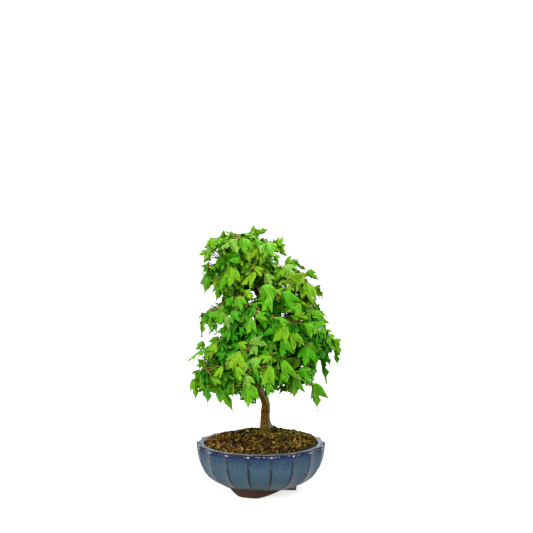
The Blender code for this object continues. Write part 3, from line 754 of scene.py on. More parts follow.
middles = [BOWL_AXIS + Vector(middle) * MM for _, _, middle, _ in MASSES]
halves = [Vector(half) * MM for _, _, _, half in MASSES]
tips = []
bough_runs = []
for (_, height, _, _), middle, half in zip(MASSES, middles, halves):
    path = trunk_path
    if height:
        leaves_at = min(trunk_path, key=lambda p: abs(p.z - height * MM))
        way = middle - leaves_at
        inward = Vector(-way[i] / half[i] for i in range(3)).length
        end = middle - way * (ENTRY_SHARE / inward)
        path = arch(leaves_at, end, (end - leaves_at).length * BOUGH_RISE, BOUGH_POINTS)
        radii = []
        for i in range(BOUGH_POINTS):
            share = i / (BOUGH_POINTS - 1)
            knot = noise.noise(Vector((share * 9, height, 0))) * BOUGH_KNOTS
            collar = BOUGH_COLLAR * math.exp(-share * COLLAR_FADE)
            radii.append(BOUGH_BASE_RADIUS + (BOUGH_TIP_RADIUS - BOUGH_BASE_RADIUS) * share + knot + collar)
        bough_runs.append((path, radii))
    tips.append((path[-1], (path[-1] - path[-2]).normalized()))
boughs = grow_wood("boughs_bark", bough_runs, BOUGH_BEVEL)
for vertex in boughs.data.vertices:
    vertex.co += Vector((0, 0, 1)) * noise.noise(vertex.co * 500) * BOUGH_UNEVEN
fit_out(boughs, bark, "grey_brown_bark", *["bough_" + name for name, height, _, _ in MASSES if height])


# The twigs: thin brown shoots. One stem runs on from each bough's tip through its mass, each twig leaves the
# joint that makes its way shortest, and finer twigs fill the same space. They bear pairs of leaves.
SEED = 4000
STEM_RADIUS = 1.5 * MM
STEM_TIP_RADIUS = 1.0 * MM
STEM_STRAIGHT = 2 * MM
STEM_KNEE = 0.4
STEM_BEYOND = 0.25
TWIG_RADIUS = 0.85 * MM
FINE_RADIUS = 0.6 * MM
TWIG_TIP_RADIUS = 0.4 * MM
TWIGS_PER_MASS = 8
FINE_TWIGS_PER_MASS = 18
TWIG_REACH = (0.3, 0.84)
TWIG_TRIES = 14
TWIG_RISE = 0.15
TWIG_POINTS = 5
TWIG_BEVEL = 1
STEM_POINTS = 13
JOINT_SWELL = 1.2
DETOUR_COST = 0.5
SPACE_MARGIN = 0.02
BLEND_REACH = 1.4
# Places that stay open in the crown, with their middles and half sizes in mm from the bowl's axis.
CLEARINGS = (
    ((8, -70, 122), (22, 70, 34)),
    ((30, 0, 118), (24, 110, 40)),
    ((66, -10, 132), (15, 90, 32)),
    ((104, -10, 165), (24, 90, 38)),
    ((124, -10, 256), (22, 90, 22)),
    ((112, -10, 287), (25, 90, 17)),
    ((105, -10, 331), (36, 90, 22)),
    ((68, -10, 353), (20, 90, 13)),
    ((31, -10, 361), (12, 80, 13)),
    ((14, -10, 399), (18, 70, 12)),
    ((-32, -10, 412), (24, 70, 13)),
    ((-80, -10, 403), (22, 70, 13)),
    ((-95, -20, 298), (38, 80, 17)),
    ((-95, -20, 246), (42, 80, 14)),
    ((-120, -20, 183), (24, 80, 10)),
    ((-99, -30, 145), (5, 60, 20)),
    ((-72, -40, 142), (6, 70, 18)),
    ((-38, -40, 131), (14, 70, 19)),
    ((-40, -20, 118), (85, 95, 26)),
)
# Gaps where the sky shows through: where each crosses the trunk's plane, right and up, and its half width.
# All of them run away from the place that the plant's face is turned to.
SKY_GAPS = (
    (-8.5, 309, 7), (-19, 292, 5), (-14, 267, 5), (-20, 256, 4), (-43, 278, 5), (-53, 271, 4), (26, 285, 4),
    (35, 274, 4), (32, 320, 4), (46, 322, 3), (54, 308, 4), (63, 214, 5), (64, 193, 5), (41, 189, 4),
    (35, 168, 5), (13, 167, 4), (-56, 232, 3), (-77, 184, 4), (-77, 360, 6), (-11, 166, 4), (-7, 158, 5),
    (-1, 148, 5), (-40, 147, 8), (21, 149, 7), (35, 149, 7), (67, 155, 9), (89, 198, 7), (89, 180, 8),
    (104, 206, 7), (-101, 195, 6), (-72, 155, 5), (-93, 337, 5), (-94, 348, 4), (92, 308, 5), (86, 297, 4),
    (62, 334, 3), (84, 335, 4), (-60, 257, 5), (-102, 262, 5), (-68, 148, 4), (-50, 141, 5), (68, 165, 5),
    (103, 190, 5), (112, 213, 4), (95, 327, 4), (-94, 147, 5), (-75.5, 352.5, 3), (-69, 367, 3),
    (-61, 295, 4), (-79, 314, 4), (58, 152, 4), (101, 183, 4), (-97, 206, 4), (-92, 212, 3), (-60, 256, 4),
    (-71, 254, 3), (-67, 239, 3), (-88, 268, 4), (-74, 157, 4), (65, 161, 4), (98, 203, 3), (36, 155, 3),
    (-82, 315, 3), (78, 338, 3),
)
PITCH = math.radians(12.3)
DISTANCE = 1.96
SIDESTEP = 0.8 * MM
VIEWPOINT = BOWL_AXIS + Vector((SIDESTEP, 0, RIM_HEIGHT))
VIEWPOINT += Vector((0, -math.cos(PITCH), math.sin(PITCH))) * DISTANCE


def share_out(point, own):
    """How far out of a mass's middle a point lies: 1 is on the mass's outline."""
    away = point - middles[own]
    return Vector(away[i] / halves[own][i] for i in range(3)).length


open_middles = np.array([BOWL_AXIS + Vector(middle) * MM for middle, _ in CLEARINGS])
open_halves = np.array([half for _, half in CLEARINGS]) * MM
gap_ways = [BOWL_AXIS + Vector((x, 0, z)) * MM - VIEWPOINT for x, z, _ in SKY_GAPS]
gap_ways = np.array([way.normalized() for way in gap_ways])
gap_widths = np.array([width for *_, width in SKY_GAPS]) * MM


def crown_fill(points):
    """How deep in the crown each point lies: 0 far outside, more the more masses reach it."""
    out = np.linalg.norm((np.atleast_2d(points)[:, None] - np.array(middles)) / np.array(halves), axis=2)
    return (np.maximum(0.0, BLEND_REACH - out) ** 2).sum(axis=1)


def in_crown(points):
    """Whether all points are in the masses' joint outline, out of the clearings and out of the gaps."""
    points = np.atleast_2d(points)
    if (np.linalg.norm((points[:, None] - open_middles) / open_halves, axis=2) < 1).any():
        return False
    if (np.linalg.norm(np.cross(points[:, None] - np.array(VIEWPOINT), gap_ways), axis=2) < gap_widths).any():
        return False
    return crown_fill(points).min() >= (BLEND_REACH - 1) ** 2


def loneliest_place(rng, own, taken):
    best, best_room = middles[own], -1.0
    for _ in range(TWIG_TRIES):
        way = Vector(rng.gauss(0, 1) for _ in range(3)).normalized()
        share = rng.uniform(*TWIG_REACH)
        point = middles[own] + Vector(way[i] * share * halves[own][i] for i in range(3))
        room = min((point - other).length for other in taken)
        others = min(share_out(point, other) for other in range(len(MASSES)) if other != own)
        if room > best_room and share_out(point, own) + SPACE_MARGIN <= others and in_crown(point):
            best, best_room = point, room
    return best


def twig_path(joint, end):
    return arch(joint, end, TWIG_RISE * (end - joint).length, TWIG_POINTS)


def taper(first, last, count):
    return [first + (last - first) * i / (count - 1) for i in range(count)]


twig_runs = []
sprays = []
for own, (root, way) in enumerate(tips):
    rng = random.Random(SEED + own)
    middle = middles[own]
    ahead = root + way * STEM_STRAIGHT
    knee = ahead.lerp(middle, STEM_KNEE) + way * STEM_STRAIGHT
    beyond = middle + (middle - root) * STEM_BEYOND
    stem = [root, *smooth_path([ahead, knee, middle, beyond], STEM_POINTS - 1)]
    twig_runs.append((stem, taper(STEM_RADIUS, STEM_TIP_RADIUS, STEM_POINTS)))
    joints = [(p, 0.0, STEM_TIP_RADIUS) for p in stem[2:]]
    taken = list(stem)
    for order, count in ((0, TWIGS_PER_MASS), (1, FINE_TWIGS_PER_MASS)):
        places = []
        for _ in range(count):
            places.append(loneliest_place(rng, own, taken + places))
        places.sort(key=lambda p: min((p - q).length for q in taken))
        taken += places
        for end in places:
            joint, far, parent = min(joints, key=lambda j: (j[0] - end).length + DETOUR_COST * j[1])
            path = twig_path(joint, end)
            first = min(parent, FINE_RADIUS if order else TWIG_RADIUS)
            twig_runs.append((path, taper(first, TWIG_TIP_RADIUS, TWIG_POINTS)))
            reach = (end - joint).length
            joints.append((path[2], far + reach / 2, first))
            joints.append((end, far + reach, TWIG_TIP_RADIUS * JOINT_SWELL))
            sprays.append((own, path))
twigs = grow_wood("twigs_bark", twig_runs, TWIG_BEVEL)

shoot = Finish("young_bark_finish", Roughness=0.65, Specular_IOR_Level=0.12)
rings = shoot.cloud(700, detail=3.0, spread=2.2)
shoot.paint(Base_Color=shoot.mix(rings, (0.014, 0.005, 0.0015), (0.058, 0.024, 0.005)))
shoot.relief(rings, 0.2 * MM)
fit_out(twigs, shoot, "grey_brown_bark")


# The leaves: thin blades of three pointed lobes on slender stalks, in pairs along the twigs. The halves of a
# blade fall away from its rib, and its long middle lobe hangs. Lighter, yellower greens are painted light and
# darker ones painted shade.
LEAF_LENGTH = (13, 34)
LEAF_USUAL = 21
LEAF_NODES = (1.0, 0.72, 0.42)
LEAF_TRIES = 18
LEAST_ROOM = 6.5 * MM
ROOM_ENOUGH = 11 * MM
STALK_LENGTH = (7, 17)
STALK_LIFT = (-0.2, 0.8)
STALK_OUTWARD = 0.4
LEAF_DROOP = (-8, 82)
LEAF_DROOP_LESS_AT_TOP = 40
LEAF_TURN = (-80, 80)
LEAF_ROLL = (-65, 65)
FACING_WORTH = 0.1
CROWN_MIDDLE = BOWL_AXIS + Vector((0, 0, 240)) * MM
# The blade's right half, row by row from the stalk to the tip, as shares of its length: where the rib is,
# then a point half way across, then the edge. The fifth row ends in the side lobe and the sixth in the notch.
BLADE_ROWS = (
    (0.00, (0.02, 0.00), (0.05, 0.00)),
    (0.06, (0.08, 0.05), (0.16, 0.03)),
    (0.16, (0.16, 0.16), (0.32, 0.15)),
    (0.27, (0.22, 0.32), (0.43, 0.39)),
    (0.36, (0.20, 0.44), (0.42, 0.58)),
    (0.45, (0.08, 0.47), (0.15, 0.44)),
    (0.62, (0.08, 0.62), (0.165, 0.60)),
    (0.81, (0.04, 0.81), (0.075, 0.79)),
    (1.00, (0.00, 0.99), (0.005, 0.98)),
)
# Where the edge of the rows by the lobe is on a blade that has none, and which rows are the shoulder's.
LOBE_ROWS = {3: (0.25, 0.29), 4: (0.22, 0.41)}
SHOULDER_ROWS = (1, 2)
BLADE_WAVE = 0.035
HALF_COLUMNS = 2
HALF_ROWS = 4
# Each shape of blade: how far its side lobes reach, its breadth, how round its shoulders are, how far its
# halves fall, how much it hangs, how much it twists, and how far its tip leans aside.
BLADE_SHAPES = (
    (1.05, 0.88, 0.95, 0.60, 0.16, 0.12, 0.05),
    (1.12, 0.80, 0.88, 0.78, 0.28, 0.26, -0.08),
    (0.95, 0.94, 1.05, 0.52, 0.12, -0.22, 0.03),
    (0.55, 0.88, 1.05, 0.70, 0.28, -0.24, 0.10),
    (1.20, 0.88, 0.92, 0.50, 0.24, 0.32, -0.05),
    (0.05, 1.05, 1.05, 0.55, 0.18, 0.15, 0.08),
)


def shape_blade(obj, lobe, breadth, shoulder, fall, hang, twist, lean):
    """Moves the grid's points to the blade's outline, then folds it along its rib and bends it down."""
    for vertex in obj.data.vertices:
        column = round(vertex.co.x * HALF_COLUMNS)
        row = round((vertex.co.y + 1) * HALF_ROWS)
        rib, half_way, edge = BLADE_ROWS[row]
        x, y = ((0, rib), half_way, edge)[abs(column)]
        if row in SHOULDER_ROWS:
            x *= shoulder
        if row in LOBE_ROWS and column:
            body_x, body_y = (number * abs(column) / HALF_COLUMNS for number in LOBE_ROWS[row])
            body_y += rib * (1 - abs(column) / HALF_COLUMNS)
            x, y = body_x + (x - body_x) * lobe, body_y + (y - body_y) * lobe
        x *= breadth * (1 if column >= 0 else -1)
        z = -fall * abs(x) - hang * y * y + BLADE_WAVE * math.sin(11 * y + column) * abs(column)
        z += twist * x * y
        vertex.co = (x + lean * y * y, y, z)


bpy.ops.object.select_all(action="DESELECT")
grid = {"x_subdivisions": 2 * HALF_COLUMNS, "y_subdivisions": 2 * HALF_ROWS}
bpy.ops.mesh.primitive_grid_add(size=2, location=(0, 0, 0), **grid)
blade = take_up("blade")
grid_points = [v.co.copy() for v in blade.data.vertices]
blade_faces = [tuple(face.vertices) for face in blade.data.polygons]
blade_shapes = []
for numbers in BLADE_SHAPES:
    for vertex, point in zip(blade.data.vertices, grid_points):
        vertex.co = point
    shape_blade(blade, *numbers)
    blade_shapes.append(points_of(blade))
bpy.ops.object.delete()


def propose_leaf(rng, node, outward):
    """A leaf on its stalk: the stalk stands out and up from the twig, and the blade hangs from its end."""
    bearing = rng.uniform(0, 2 * math.pi)
    level = Vector((math.cos(bearing), math.sin(bearing), 0))
    level = (level + Vector((outward.x, outward.y, 0)) * STALK_OUTWARD).normalized()
    lift = rng.uniform(*STALK_LIFT) + STALK_OUTWARD * outward.z
    stalk = (level + Vector((0, 0, lift))).normalized()
    base = node + stalk * rng.uniform(*STALK_LENGTH) * MM
    droop = math.radians(rng.uniform(*LEAF_DROOP) - LEAF_DROOP_LESS_AT_TOP * max(0, outward.z))
    heading = Matrix.Rotation(math.radians(rng.uniform(*LEAF_TURN)), 3, "Z") @ level
    along = (heading * math.cos(droop) - Vector((0, 0, math.sin(droop)))).normalized()
    across = along.cross(Vector((0, 0, 1))).normalized()
    across = Matrix.Rotation(math.radians(rng.uniform(*LEAF_ROLL)), 3, along) @ across
    up = across.cross(along).normalized()
    length = rng.triangular(*LEAF_LENGTH, LEAF_USUAL) * MM
    return {"root": node, "base": base, "along": along, "across": across, "up": up, "length": length}


# The leaves that give the plant its outline and its face: the base and the tip of each in mm from the bowl's
# axis (right, back and up), how far it is turned about its rib, the number of its shape, and its colour.
SHOWN_LEAVES = (
    (-10, -15, 395, 14, -12, 404, 50, 5, "bright"), (-13, -16, 391, -10, -20, 412, 10, 5, "young"),
    (-55, -20, 388, -56, -32, 404, 0, 5, "bright"), (-16, -12, 398, -37, -20, 396, 75, 0, "young"),
    (-43, -16, 386, -45, -26, 402, 40, 3, "pale"), (-68, -18, 390, -87, -26, 376, 25, 0, "bright"),
    (-73, -24, 392, -74, -32, 372, 10, 2, "bright"), (-78, -16, 371, -96, -22, 365, 15, 0, "bright"),
    (-77, -14, 363, -88, -26, 354, 20, 3, "fresh"), (-80, -12, 354, -89, -16, 335, 65, 1, "bright"),
    (-78, -20, 341, -86, -24, 304, 25, 0, "fresh"), (-63, -30, 336, -71, -38, 316, 0, 2, "young"),
    (-61, -26, 328, -68, -30, 293, 30, 0, "fresh"), (-51, -54, 341, -61, -58, 311, 30, 1, "fresh"),
    (-43, -59, 350, -47, -63, 316, 20, 0, "bright"), (-54, -34, 364, -75, -38, 362, 70, 0, "deep"),
    (-53, -40, 362, -70, -48, 347, 20, 1, "fresh"), (-47, -54, 388, -63, -58, 374, 40, 3, "pale"),
    (-46, -58, 390, -32, -64, 367, 25, 5, "pale"), (-26, -62, 393, -23, -68, 366, 10, 2, "fresh"),
    (-31, -61, 365, -50, -67, 358, 20, 3, "deep"), (-9, -50, 343, -33, -56, 318, 68, 1, "young"),
    (-11, -48, 348, 4, -54, 332, 40, 0, "young"), (7, -52, 339, 17, -56, 319, 20, 0, "pale"),
    (-23, -72, 317, -14, -82, 302, 30, 5, "young"), (2, -80, 324, 21, -84, 298, 10, 2, "fresh"),
    (25, -8, 374, 35, -2, 393, 0, 2, "bright"), (26, -9, 376, 27, -2, 394, 0, 3, "bright"),
    (28, -6, 375, 18, -2, 390, 0, 5, "bright"), (21, -10, 380, 40, -16, 362, 10, 5, "bright"),
    (37, -10, 349, 59, -8, 358, 25, 0, "bright"), (50, -8, 350, 72, -10, 340, 72, 5, "bright"),
    (69, -6, 338, 91, -6, 324, 38, 3, "fresh"), (56, -14, 335, 73, -18, 319, 30, 0, "fresh"),
    (44, -12, 348, 58, -16, 339, 30, 0, "fresh"), (34, -48, 351, 53, -54, 335, 0, 2, "pale"),
    (40, -54, 336, 72, -57, 323, 74, 1, "young"), (9, -53, 381, 21, -59, 362, 0, 2, "fresh"),
    (20, -24, 365, 28, -36, 352, 20, 3, "fresh"), (70, -38, 324, 78, -46, 292, -25, 2, "bright"),
    (83, -2, 316, 96, -8, 296, 68, 5, "bright"), (82, -10, 315, 90, -16, 297, 70, 5, "bright"),
    (76, -6, 297, 86, -20, 287, 20, 3, "pale"), (80, -6, 285, 98, -12, 267, 50, 5, "bright"),
    (76, -26, 282, 87, -34, 250, 20, 2, "fresh"), (91, -4, 266, 100, -10, 248, 40, 0, "bright"),
    (90, -4, 248, 110, -10, 233, 20, 0, "bright"), (103, -6, 242, 116, -12, 229, 15, 3, "bright"),
    (110, -4, 235, 122, -8, 206, 50, 5, "bright"), (112, 2, 220, 118, -2, 192, 60, 5, "fresh"),
    (86, -12, 227, 107, -20, 216, 10, 2, "deep"), (95, 0, 215, 108, -4, 191, 64, 5, "deep"),
    (78, -26, 228, 89, -34, 205, 15, 2, "deep"), (90, -4, 211, 101, -8, 166, 76, 5, "deep"),
    (71, -14, 195, 81, -20, 171, 20, 2, "deep"), (71, -60, 231, 64, -64, 198, 0, 2, "deep"),
    (75, -36, 214, 84, -44, 194, 20, 3, "fresh"), (62, -64, 202, 75, -68, 173, -15, 2, "deep"),
    (79, -10, 168, 87, -14, 124, 49, 0, "fresh"), (49, -56, 187, 50, -58, 149, 48, 4, "fresh"),
    (29, -76, 214, 40, -80, 173, 50, 1, "fresh"), (34, -66, 196, 68, -68, 179, 65, 3, "pale"),
    (17, -14, 181, 13, -20, 161, 45, 2, "dark"), (8, -91, 184, 12, -91, 158, 50, 1, "fresh"),
    (28, -14, 177, 18, -20, 161, 40, 2, "deep"), (41, -6, 164, 16, -10, 156, 75, 1, "dark"),
    (8, -96, 196, 5, -96, 176, 50, 1, "fresh"), (13, -97, 208, 0, -97, 174, 40, 4, "bright"),
    (1, -97, 221, -23, -97, 212, 35, 1, "pale"), (30, -82, 195, 26, -84, 174, 20, 3, "deep"),
    (-13, -97, 214, -6, -97, 193, 40, 0, "fresh"), (15, -95, 221, -6, -97, 223, 30, 0, "bright"),
    (-21, -97, 194, -17, -97, 171, 20, 0, "pale"), (-20, -90, 180, -19, -92, 140, 28, 2, "fresh"),
    (-16, -30, 160, -6, -40, 141, 20, 2, "fresh"), (-37, -96, 207, -28, -97, 181, 40, 1, "bright"),
    (-30, -90, 228, -50, -96, 200, 20, 0, "young"), (-57, -77, 206, -72, -84, 187, 65, 1, "young"),
    (-73, -74, 188, -56, -84, 178, 20, 2, "bright"), (-63, -52, 170, -41, -56, 132, 5, 3, "fresh"),
    (-84, -46, 179, -79, -50, 139, 45, 0, "deep"), (-101, -34, 179, -98, -40, 146, 10, 3, "bright"),
    (-88, -34, 191, -102, -44, 178, 20, 2, "fresh"), (-79, -32, 202, -100, -40, 199, 25, 4, "bright"),
    (-72, -46, 226, -87, -50, 208, 68, 1, "young"), (-71, -40, 222, -85, -44, 206, 60, 3, "dark"),
    (-87, -18, 234, -101, -26, 219, 15, 3, "fresh"), (-90, -22, 222, -111, -24, 204, 76, 5, "bright"),
    (-90, -12, 272, -90, -16, 239, 64, 5, "fresh"), (-58, -38, 286, -84, -40, 273, 50, 0, "fresh"),
    (-85, -12, 266, -96, -16, 260, 20, 3, "fresh"), (-76, -32, 282, -77, -38, 247, 45, 0, "fresh"),
    (-68, -32, 263, -78, -38, 246, 60, 0, "deep"), (-52, -36, 259, -71, -40, 246, 65, 3, "deep"),
    (-57, -58, 284, -63, -62, 260, 20, 3, "fresh"), (-52, -64, 277, -47, -70, 256, 30, 2, "pale"),
    (-46, -59, 258, -63, -64, 244, 35, 0, "deep"), (-59, -42, 239, -80, -46, 231, 40, 0, "fresh"),
    (-63, -40, 243, -82, -44, 235, 20, 3, "fresh"), (-65, -60, 234, -80, -70, 226, 20, 2, "young"),
    (32, -74, 315, 50, -78, 282, 40, 4, "deep"), (59, -74, 296, 35, -78, 284, 15, 2, "fresh"),
    (42, -65, 259, 50, -69, 219, 10, 4, "bright"), (36, -89, 267, 14, -93, 239, 25, 0, "bright"),
    (30, -76, 249, 32, -79, 211, 50, 1, "deep"), (-17, -93, 240, 16, -95, 238, 60, 0, "pale"),
    (-14, -90, 278, -21, -94, 250, 45, 4, "fresh"), (12, -90, 312, 0, -94, 282, 45, 1, "fresh"),
    (-8, -94, 280, 14, -97, 274, 30, 0, "fresh"), (26, -89, 278, 37, -95, 262, 40, 1, "fresh"),
    (52, -56, 277, 76, -60, 271, 30, 3, "bright"), (-34, -74, 308, -28, -80, 284, 20, 2, "fresh"),
    (-41, -54, 305, -54, -60, 290, 20, 0, "deep"), (-43, -76, 286, -29, -82, 270, 0, 2, "deep"),
    (65, -56, 265, 77, -60, 239, 30, 2, "fresh"), (-7, -94, 240, -18, -97, 221, 30, 1, "pale"),
    (-33, -88, 241, -19, -96, 231, 20, 0, "bright"),
)
# The way that a shown leaf looks before it is turned about its rib.
FACE = Vector((0, -0.98, 0.21))
# A shown leaf whose stalk would be longer than the reach is carried by a shoot of its own.
STALK_REACH = 18 * MM
SHOOT_STOPS_SHORT = 0.6
SHOOT_RADIUS = 0.7 * MM
AHEAD_COST = 12 * MM
HEART = 0.45
LEAF_SEED = 7 * SEED
# Places all over a blade, across and along it, as shares of its length.
BLADE_MARKS = ((0, 0), (0, 0.45), (0, 0.75), (0, 1), (0.45, 0.5), (-0.45, 0.5), (0.25, 0.3), (-0.25, 0.3))


def marks_of(leaf):
    base, along, across, length = leaf["base"], leaf["along"], leaf["across"], leaf["length"]
    return np.array([base + (across * x + along * y) * length for x, y in BLADE_MARKS])


leaves = []
shoot_runs = []
wood_points = [point for points, _ in twig_runs for point in points]
for *places, roll, shape, colour in SHOWN_LEAVES:
    base, tip = (BOWL_AXIS + Vector(place) * MM for place in (places[:3], places[3:]))
    along = (tip - base).normalized()
    ahead = [AHEAD_COST * max(0.0, (p - base).normalized().dot(along)) for p in wood_points]
    costs = [(p - base).length + more for p, more in zip(wood_points, ahead)]
    root = wood_points[costs.index(min(costs))]
    if (base - root).length > STALK_REACH:
        path = twig_path(root, base - (base - root).normalized() * SHOOT_STOPS_SHORT * STALK_REACH)
        shoot_runs.append((path, taper(SHOOT_RADIUS, TWIG_TIP_RADIUS, TWIG_POINTS)))
        wood_points += path[1:]
        own = min(range(len(MASSES)), key=lambda number: share_out(path[-1], number))
        sprays.append((own, path))
        root = path[-1]
    up = Matrix.Rotation(math.radians(roll), 3, along) @ (FACE - along * FACE.dot(along)).normalized()
    hang, _, lean = BLADE_SHAPES[shape][4:]
    across = along.cross(up)
    rib = (along - across * lean + up * hang).normalized()
    up = (up - rib * rib.dot(up)).normalized()
    length = (tip - base).length / math.sqrt(1 + hang**2 + lean**2)
    leaf = {"root": root, "base": base, "along": rib, "across": rib.cross(up), "up": up}
    leaf.update(length=length, shape=shape, colour=colour, heart=base.lerp(tip, HEART))
    leaves.append(leaf)
# Then every twig and shoot bears leaves at its nodes, each the best placed of a few tries.
hearts = np.array([leaf["heart"] for leaf in leaves])
for share in LEAF_NODES * 2:
    for number, (own, path) in enumerate(sprays):
        rng = random.Random(LEAF_SEED + number * 10 + len(leaves))
        place = share * (TWIG_POINTS - 1)
        span = min(TWIG_POINTS - 2, int(place))
        node = path[span].lerp(path[span + 1], place - span)
        outward = (path[-1] - middles[own]).normalized()
        best, best_worth = None, -9.0
        for _ in range(LEAF_TRIES):
            leaf = propose_leaf(rng, node, outward)
            if not in_crown(marks_of(leaf)):
                continue
            heart = leaf["base"] + leaf["along"] * leaf["length"] * HEART
            room = math.sqrt(((hearts - np.array(heart)) ** 2).sum(axis=1).min())
            if room < LEAST_ROOM:
                continue
            facing = leaf["up"].dot((heart - CROWN_MIDDLE).normalized())
            tip = leaf["base"] + leaf["along"] * leaf["length"]
            worth = share_out(tip, own) + min(room, ROOM_ENOUGH) / ROOM_ENOUGH + FACING_WORTH * facing
            if worth > best_worth:
                best, best_worth = {**leaf, "spray": number, "heart": heart, "facing": facing}, worth
        if best:
            leaves.append(best)
            hearts = np.vstack([hearts, np.array(best["heart"])])
shoots = grow_wood("shoots_bark", shoot_runs, TWIG_BEVEL)
fit_out(shoots, shoot, "grey_brown_bark")

# Greens from yellow to dark: they differ by spray and also stand for painted light and shade, the pale one
# for a painted sheen.
LEAF_COLOURS = {
    "young": (0.068, 0.144, 0.002),
    "bright": (0.053, 0.140, 0.0012),
    "fresh": (0.035, 0.134, 0.0008),
    "deep": (0.020, 0.121, 0.0006),
    "dark": (0.011, 0.104, 0.0004),
    "pale": (0.066, 0.144, 0.014),
}
LEAF_BLOOM = (0.010, 0.014, 0.001)
LEAF_SHEEN = (0.8, 1, 0.6, 1)
# The least share of painted light and luck that makes a leaf yellow, bright, fresh or deep. One with less is
# dark.
LIGHT_AND_LUCK_LEVELS = (0.95, 0.45, -0.05, -0.5)
SPRAY_SHARE = 0.5
FACING_LIGHT = 0.35
USUAL_FILL = 0.62
MOST_FILL = 1.3
DEPTH_SHADE = 1.1
PALE_ODDS = 0.08
WAIST_HEIGHT = 255 * MM
WAIST_REACH = 38 * MM
WAIST_SHADE = 1.3
RIGHT_SIDE_LIGHT = 0.65
dealt = {colour: [] for colour in LEAF_COLOURS}
for number, leaf in enumerate(leaves):
    rng = random.Random(SEED + number)
    if "colour" not in leaf:
        spray_luck = random.Random(leaf["spray"]).uniform(-1, 1)
        light_and_luck = SPRAY_SHARE * spray_luck + (1 - SPRAY_SHARE) * rng.uniform(-1, 1)
        # Painted light and shade: a lighter green where the leaf faces out of the crown, lies near its
        # outside or on its right, and a darker one at the crown's waist.
        light_and_luck += FACING_LIGHT * leaf["facing"]
        light_and_luck += DEPTH_SHADE * (USUAL_FILL - min(MOST_FILL, crown_fill(leaf["heart"])[0]))
        light_and_luck += RIGHT_SIDE_LIGHT * max(0.0, (leaf["heart"].x - BOWL_AXIS.x) / (100 * MM))
        light_and_luck -= WAIST_SHADE * bell((leaf["heart"].z - WAIST_HEIGHT) / WAIST_REACH)
        leaf["shape"] = rng.randrange(len(BLADE_SHAPES))
        leaf["colour"] = list(LEAF_COLOURS)[sum(light_and_luck < level for level in LIGHT_AND_LUCK_LEVELS)]
        # Some of the lighter leaves are dealt the pale green, a painted sheen.
        if light_and_luck > LIGHT_AND_LUCK_LEVELS[2] and rng.random() < PALE_ODDS:
            leaf["colour"] = "pale"
    turn = Matrix((leaf["across"], leaf["along"], leaf["up"])).transposed() * leaf["length"]
    dealt[leaf["colour"]].append((leaf["shape"], turn, leaf["base"]))
mass_nodes = ["mass_" + name for name, *_ in MASSES]
from_ribs = [abs(p.x) for p in grid_points]
along_ribs = [(p.y + 1) / 2 for p in grid_points]
for colour, tint in LEAF_COLOURS.items():
    piece = many_copies("leaves_" + colour, blade_shapes, blade_faces, dealt[colour])
    bpy.ops.object.shade_smooth_by_angle(angle=math.radians(20))
    note_on_points(piece.data, "from_rib", from_ribs * len(dealt[colour]))
    note_on_points(piece.data, "along_rib", along_ribs * len(dealt[colour]))
    green = Finish(f"{colour}_leaf_finish", Roughness=0.36, Specular_IOR_Level=0.1, Specular_Tint=LEAF_SHEEN)
    flecks = green.cloud(260, detail=4.0, spread=2.6)
    per_leaf = green.cloud(40, detail=1.0, spread=2.4)
    shades = [tuple(c * f for c in tint) for f in (0.44, 1.42)]
    green.ground(per_leaf * 0.5 + flecks * 0.5, *shades)
    # Paler side veins like a comb, then the paler margin, and the palest line along the rib.
    from_rib = green.attribute("from_rib")
    comb = green.math("FRACT", green.attribute("along_rib") * 9.0 - from_rib * 2.5) - 0.5
    vein = abs(comb).between(0.12, 0.0) * 0.35
    margin = from_rib.between(0.7, 1.0) * 0.6
    rib = from_rib.between(0.14, 0.0) * 0.7
    for share, bloom in ((vein, 0.4), (margin, 0.8), (rib, 1.5)):
        green.coat(share, tuple(c * 1.4 + more * bloom for c, more in zip(tint, LEAF_BLOOM)))
    green.paint(Base_Color=green.skin, Roughness=0.36 + flecks * 0.16)
    green.relief(flecks, 0.15 * MM)
    fit_out(piece, green, "green_leaf", *mass_nodes)


# The leaf stalks: slender and green, with a flush of red over some of them. Each leaves its twig a little
# upwards, bows over, and ends just inside the base of its blade.
STALK_RADIUS = 0.42 * MM
STALK_RISE = 1.2 * MM
STALK_OVERLAP = 0.5 * MM
STALK_BEVEL = 0

stalk_runs = []
for leaf in leaves:
    end = leaf["base"] + leaf["along"] * STALK_OVERLAP
    path = arch(leaf["root"], end, 2 * STALK_RISE, TWIG_POINTS)
    stalk_runs.append((path, [STALK_RADIUS] * TWIG_POINTS))
stalks = grow_wood("leaf_stalks", stalk_runs, STALK_BEVEL)

red = Finish("red_stalk_finish", Roughness=0.5, Specular_IOR_Level=0.4)
blush = red.cloud(60, detail=2.0, spread=2.6)
red.paint(Base_Color=red.mix(blush, (0.16, 0.03, 0.006), (0.10, 0.11, 0.008)))
fit_out(stalks, red, "green_leaf")


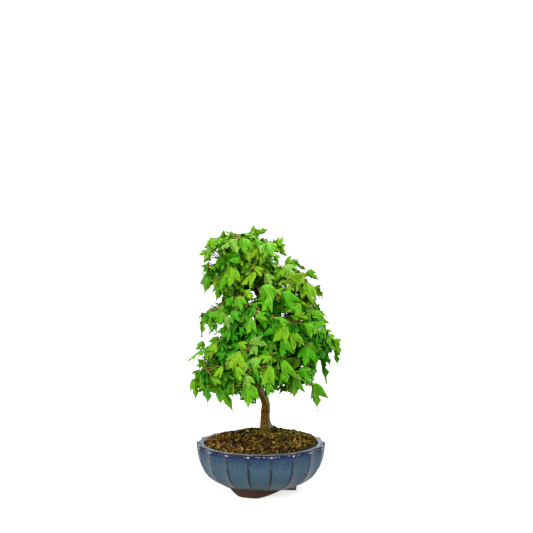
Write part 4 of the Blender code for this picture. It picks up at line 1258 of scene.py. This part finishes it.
# The stage: a plain pale floor of paper, a white room and three soft lamps, none of which are part of the
# plant. The camera stands in front and a little above, and looks at the plant from the side that it faces.
WHITE = (1, 1, 1, 1)
FLOOR_SIZE = 12
FLOOR_COLOUR = (0.3, 0.3, 0.3, 1)
FLOOR_GLOW = 0.76
ROOM_LIGHT = 1.6
LAMP_AIM = Vector((0, 0, 0.2))
LENS = 85
SENSOR = 36
# The photograph's focal length, and how far its middle lies above the middle of the rim and right of it.
FOCAL_PIXELS = 1258.5
MIDDLE_ABOVE_PIXELS = 175.3
MIDDLE_RIGHT_PIXELS = 5.2

bpy.ops.object.select_all(action="DESELECT")
bpy.ops.mesh.primitive_plane_add(size=FLOOR_SIZE, location=(0, 0, 0))
floor = take_up("floor")
glow = {"Emission_Color": WHITE, "Emission_Strength": FLOOR_GLOW}
paper = Finish("white_paper", Base_Color=FLOOR_COLOUR, Roughness=0.9, Specular_IOR_Level=0.1, **glow)
floor.data.materials.append(paper.material)
world = bpy.data.worlds.new("white_room")
bpy.context.scene.world = world
world.use_nodes = True
room = world.node_tree.nodes["Background"].inputs
room["Color"].default_value = WHITE
room["Strength"].default_value = ROOM_LIGHT
bpy.context.scene.view_settings.view_transform = "Standard"
for name, place, size, power in (
    ("lamp_key", (0.7, -0.9, 1.5), 0.5, 55),
    ("lamp_fill", (-1.1, -1.3, 0.7), 1.0, 40),
    ("lamp_top", (0.3, 0.5, 1.7), 0.7, 36),
):
    light = bpy.data.lights.new(name, "AREA")
    light.size = size
    light.energy = power
    lamp = bpy.data.objects.new(name, light)
    lamp.location = place
    lamp.rotation_euler = (LAMP_AIM - Vector(place)).to_track_quat("-Z", "Y").to_euler()
    bpy.context.scene.collection.objects.link(lamp)

TILT = math.atan(MIDDLE_ABOVE_PIXELS / FOCAL_PIXELS)
YAW = math.atan(MIDDLE_RIGHT_PIXELS / FOCAL_PIXELS)
camera = bpy.data.objects.new("camera", bpy.data.cameras.new("camera"))
camera.data.lens = LENS
camera.data.sensor_width = SENSOR
camera.location = VIEWPOINT
camera.rotation_euler = (math.pi / 2 - (PITCH - TILT), 0, -YAW)
bpy.context.scene.collection.objects.link(camera)
bpy.context.scene.camera = camera
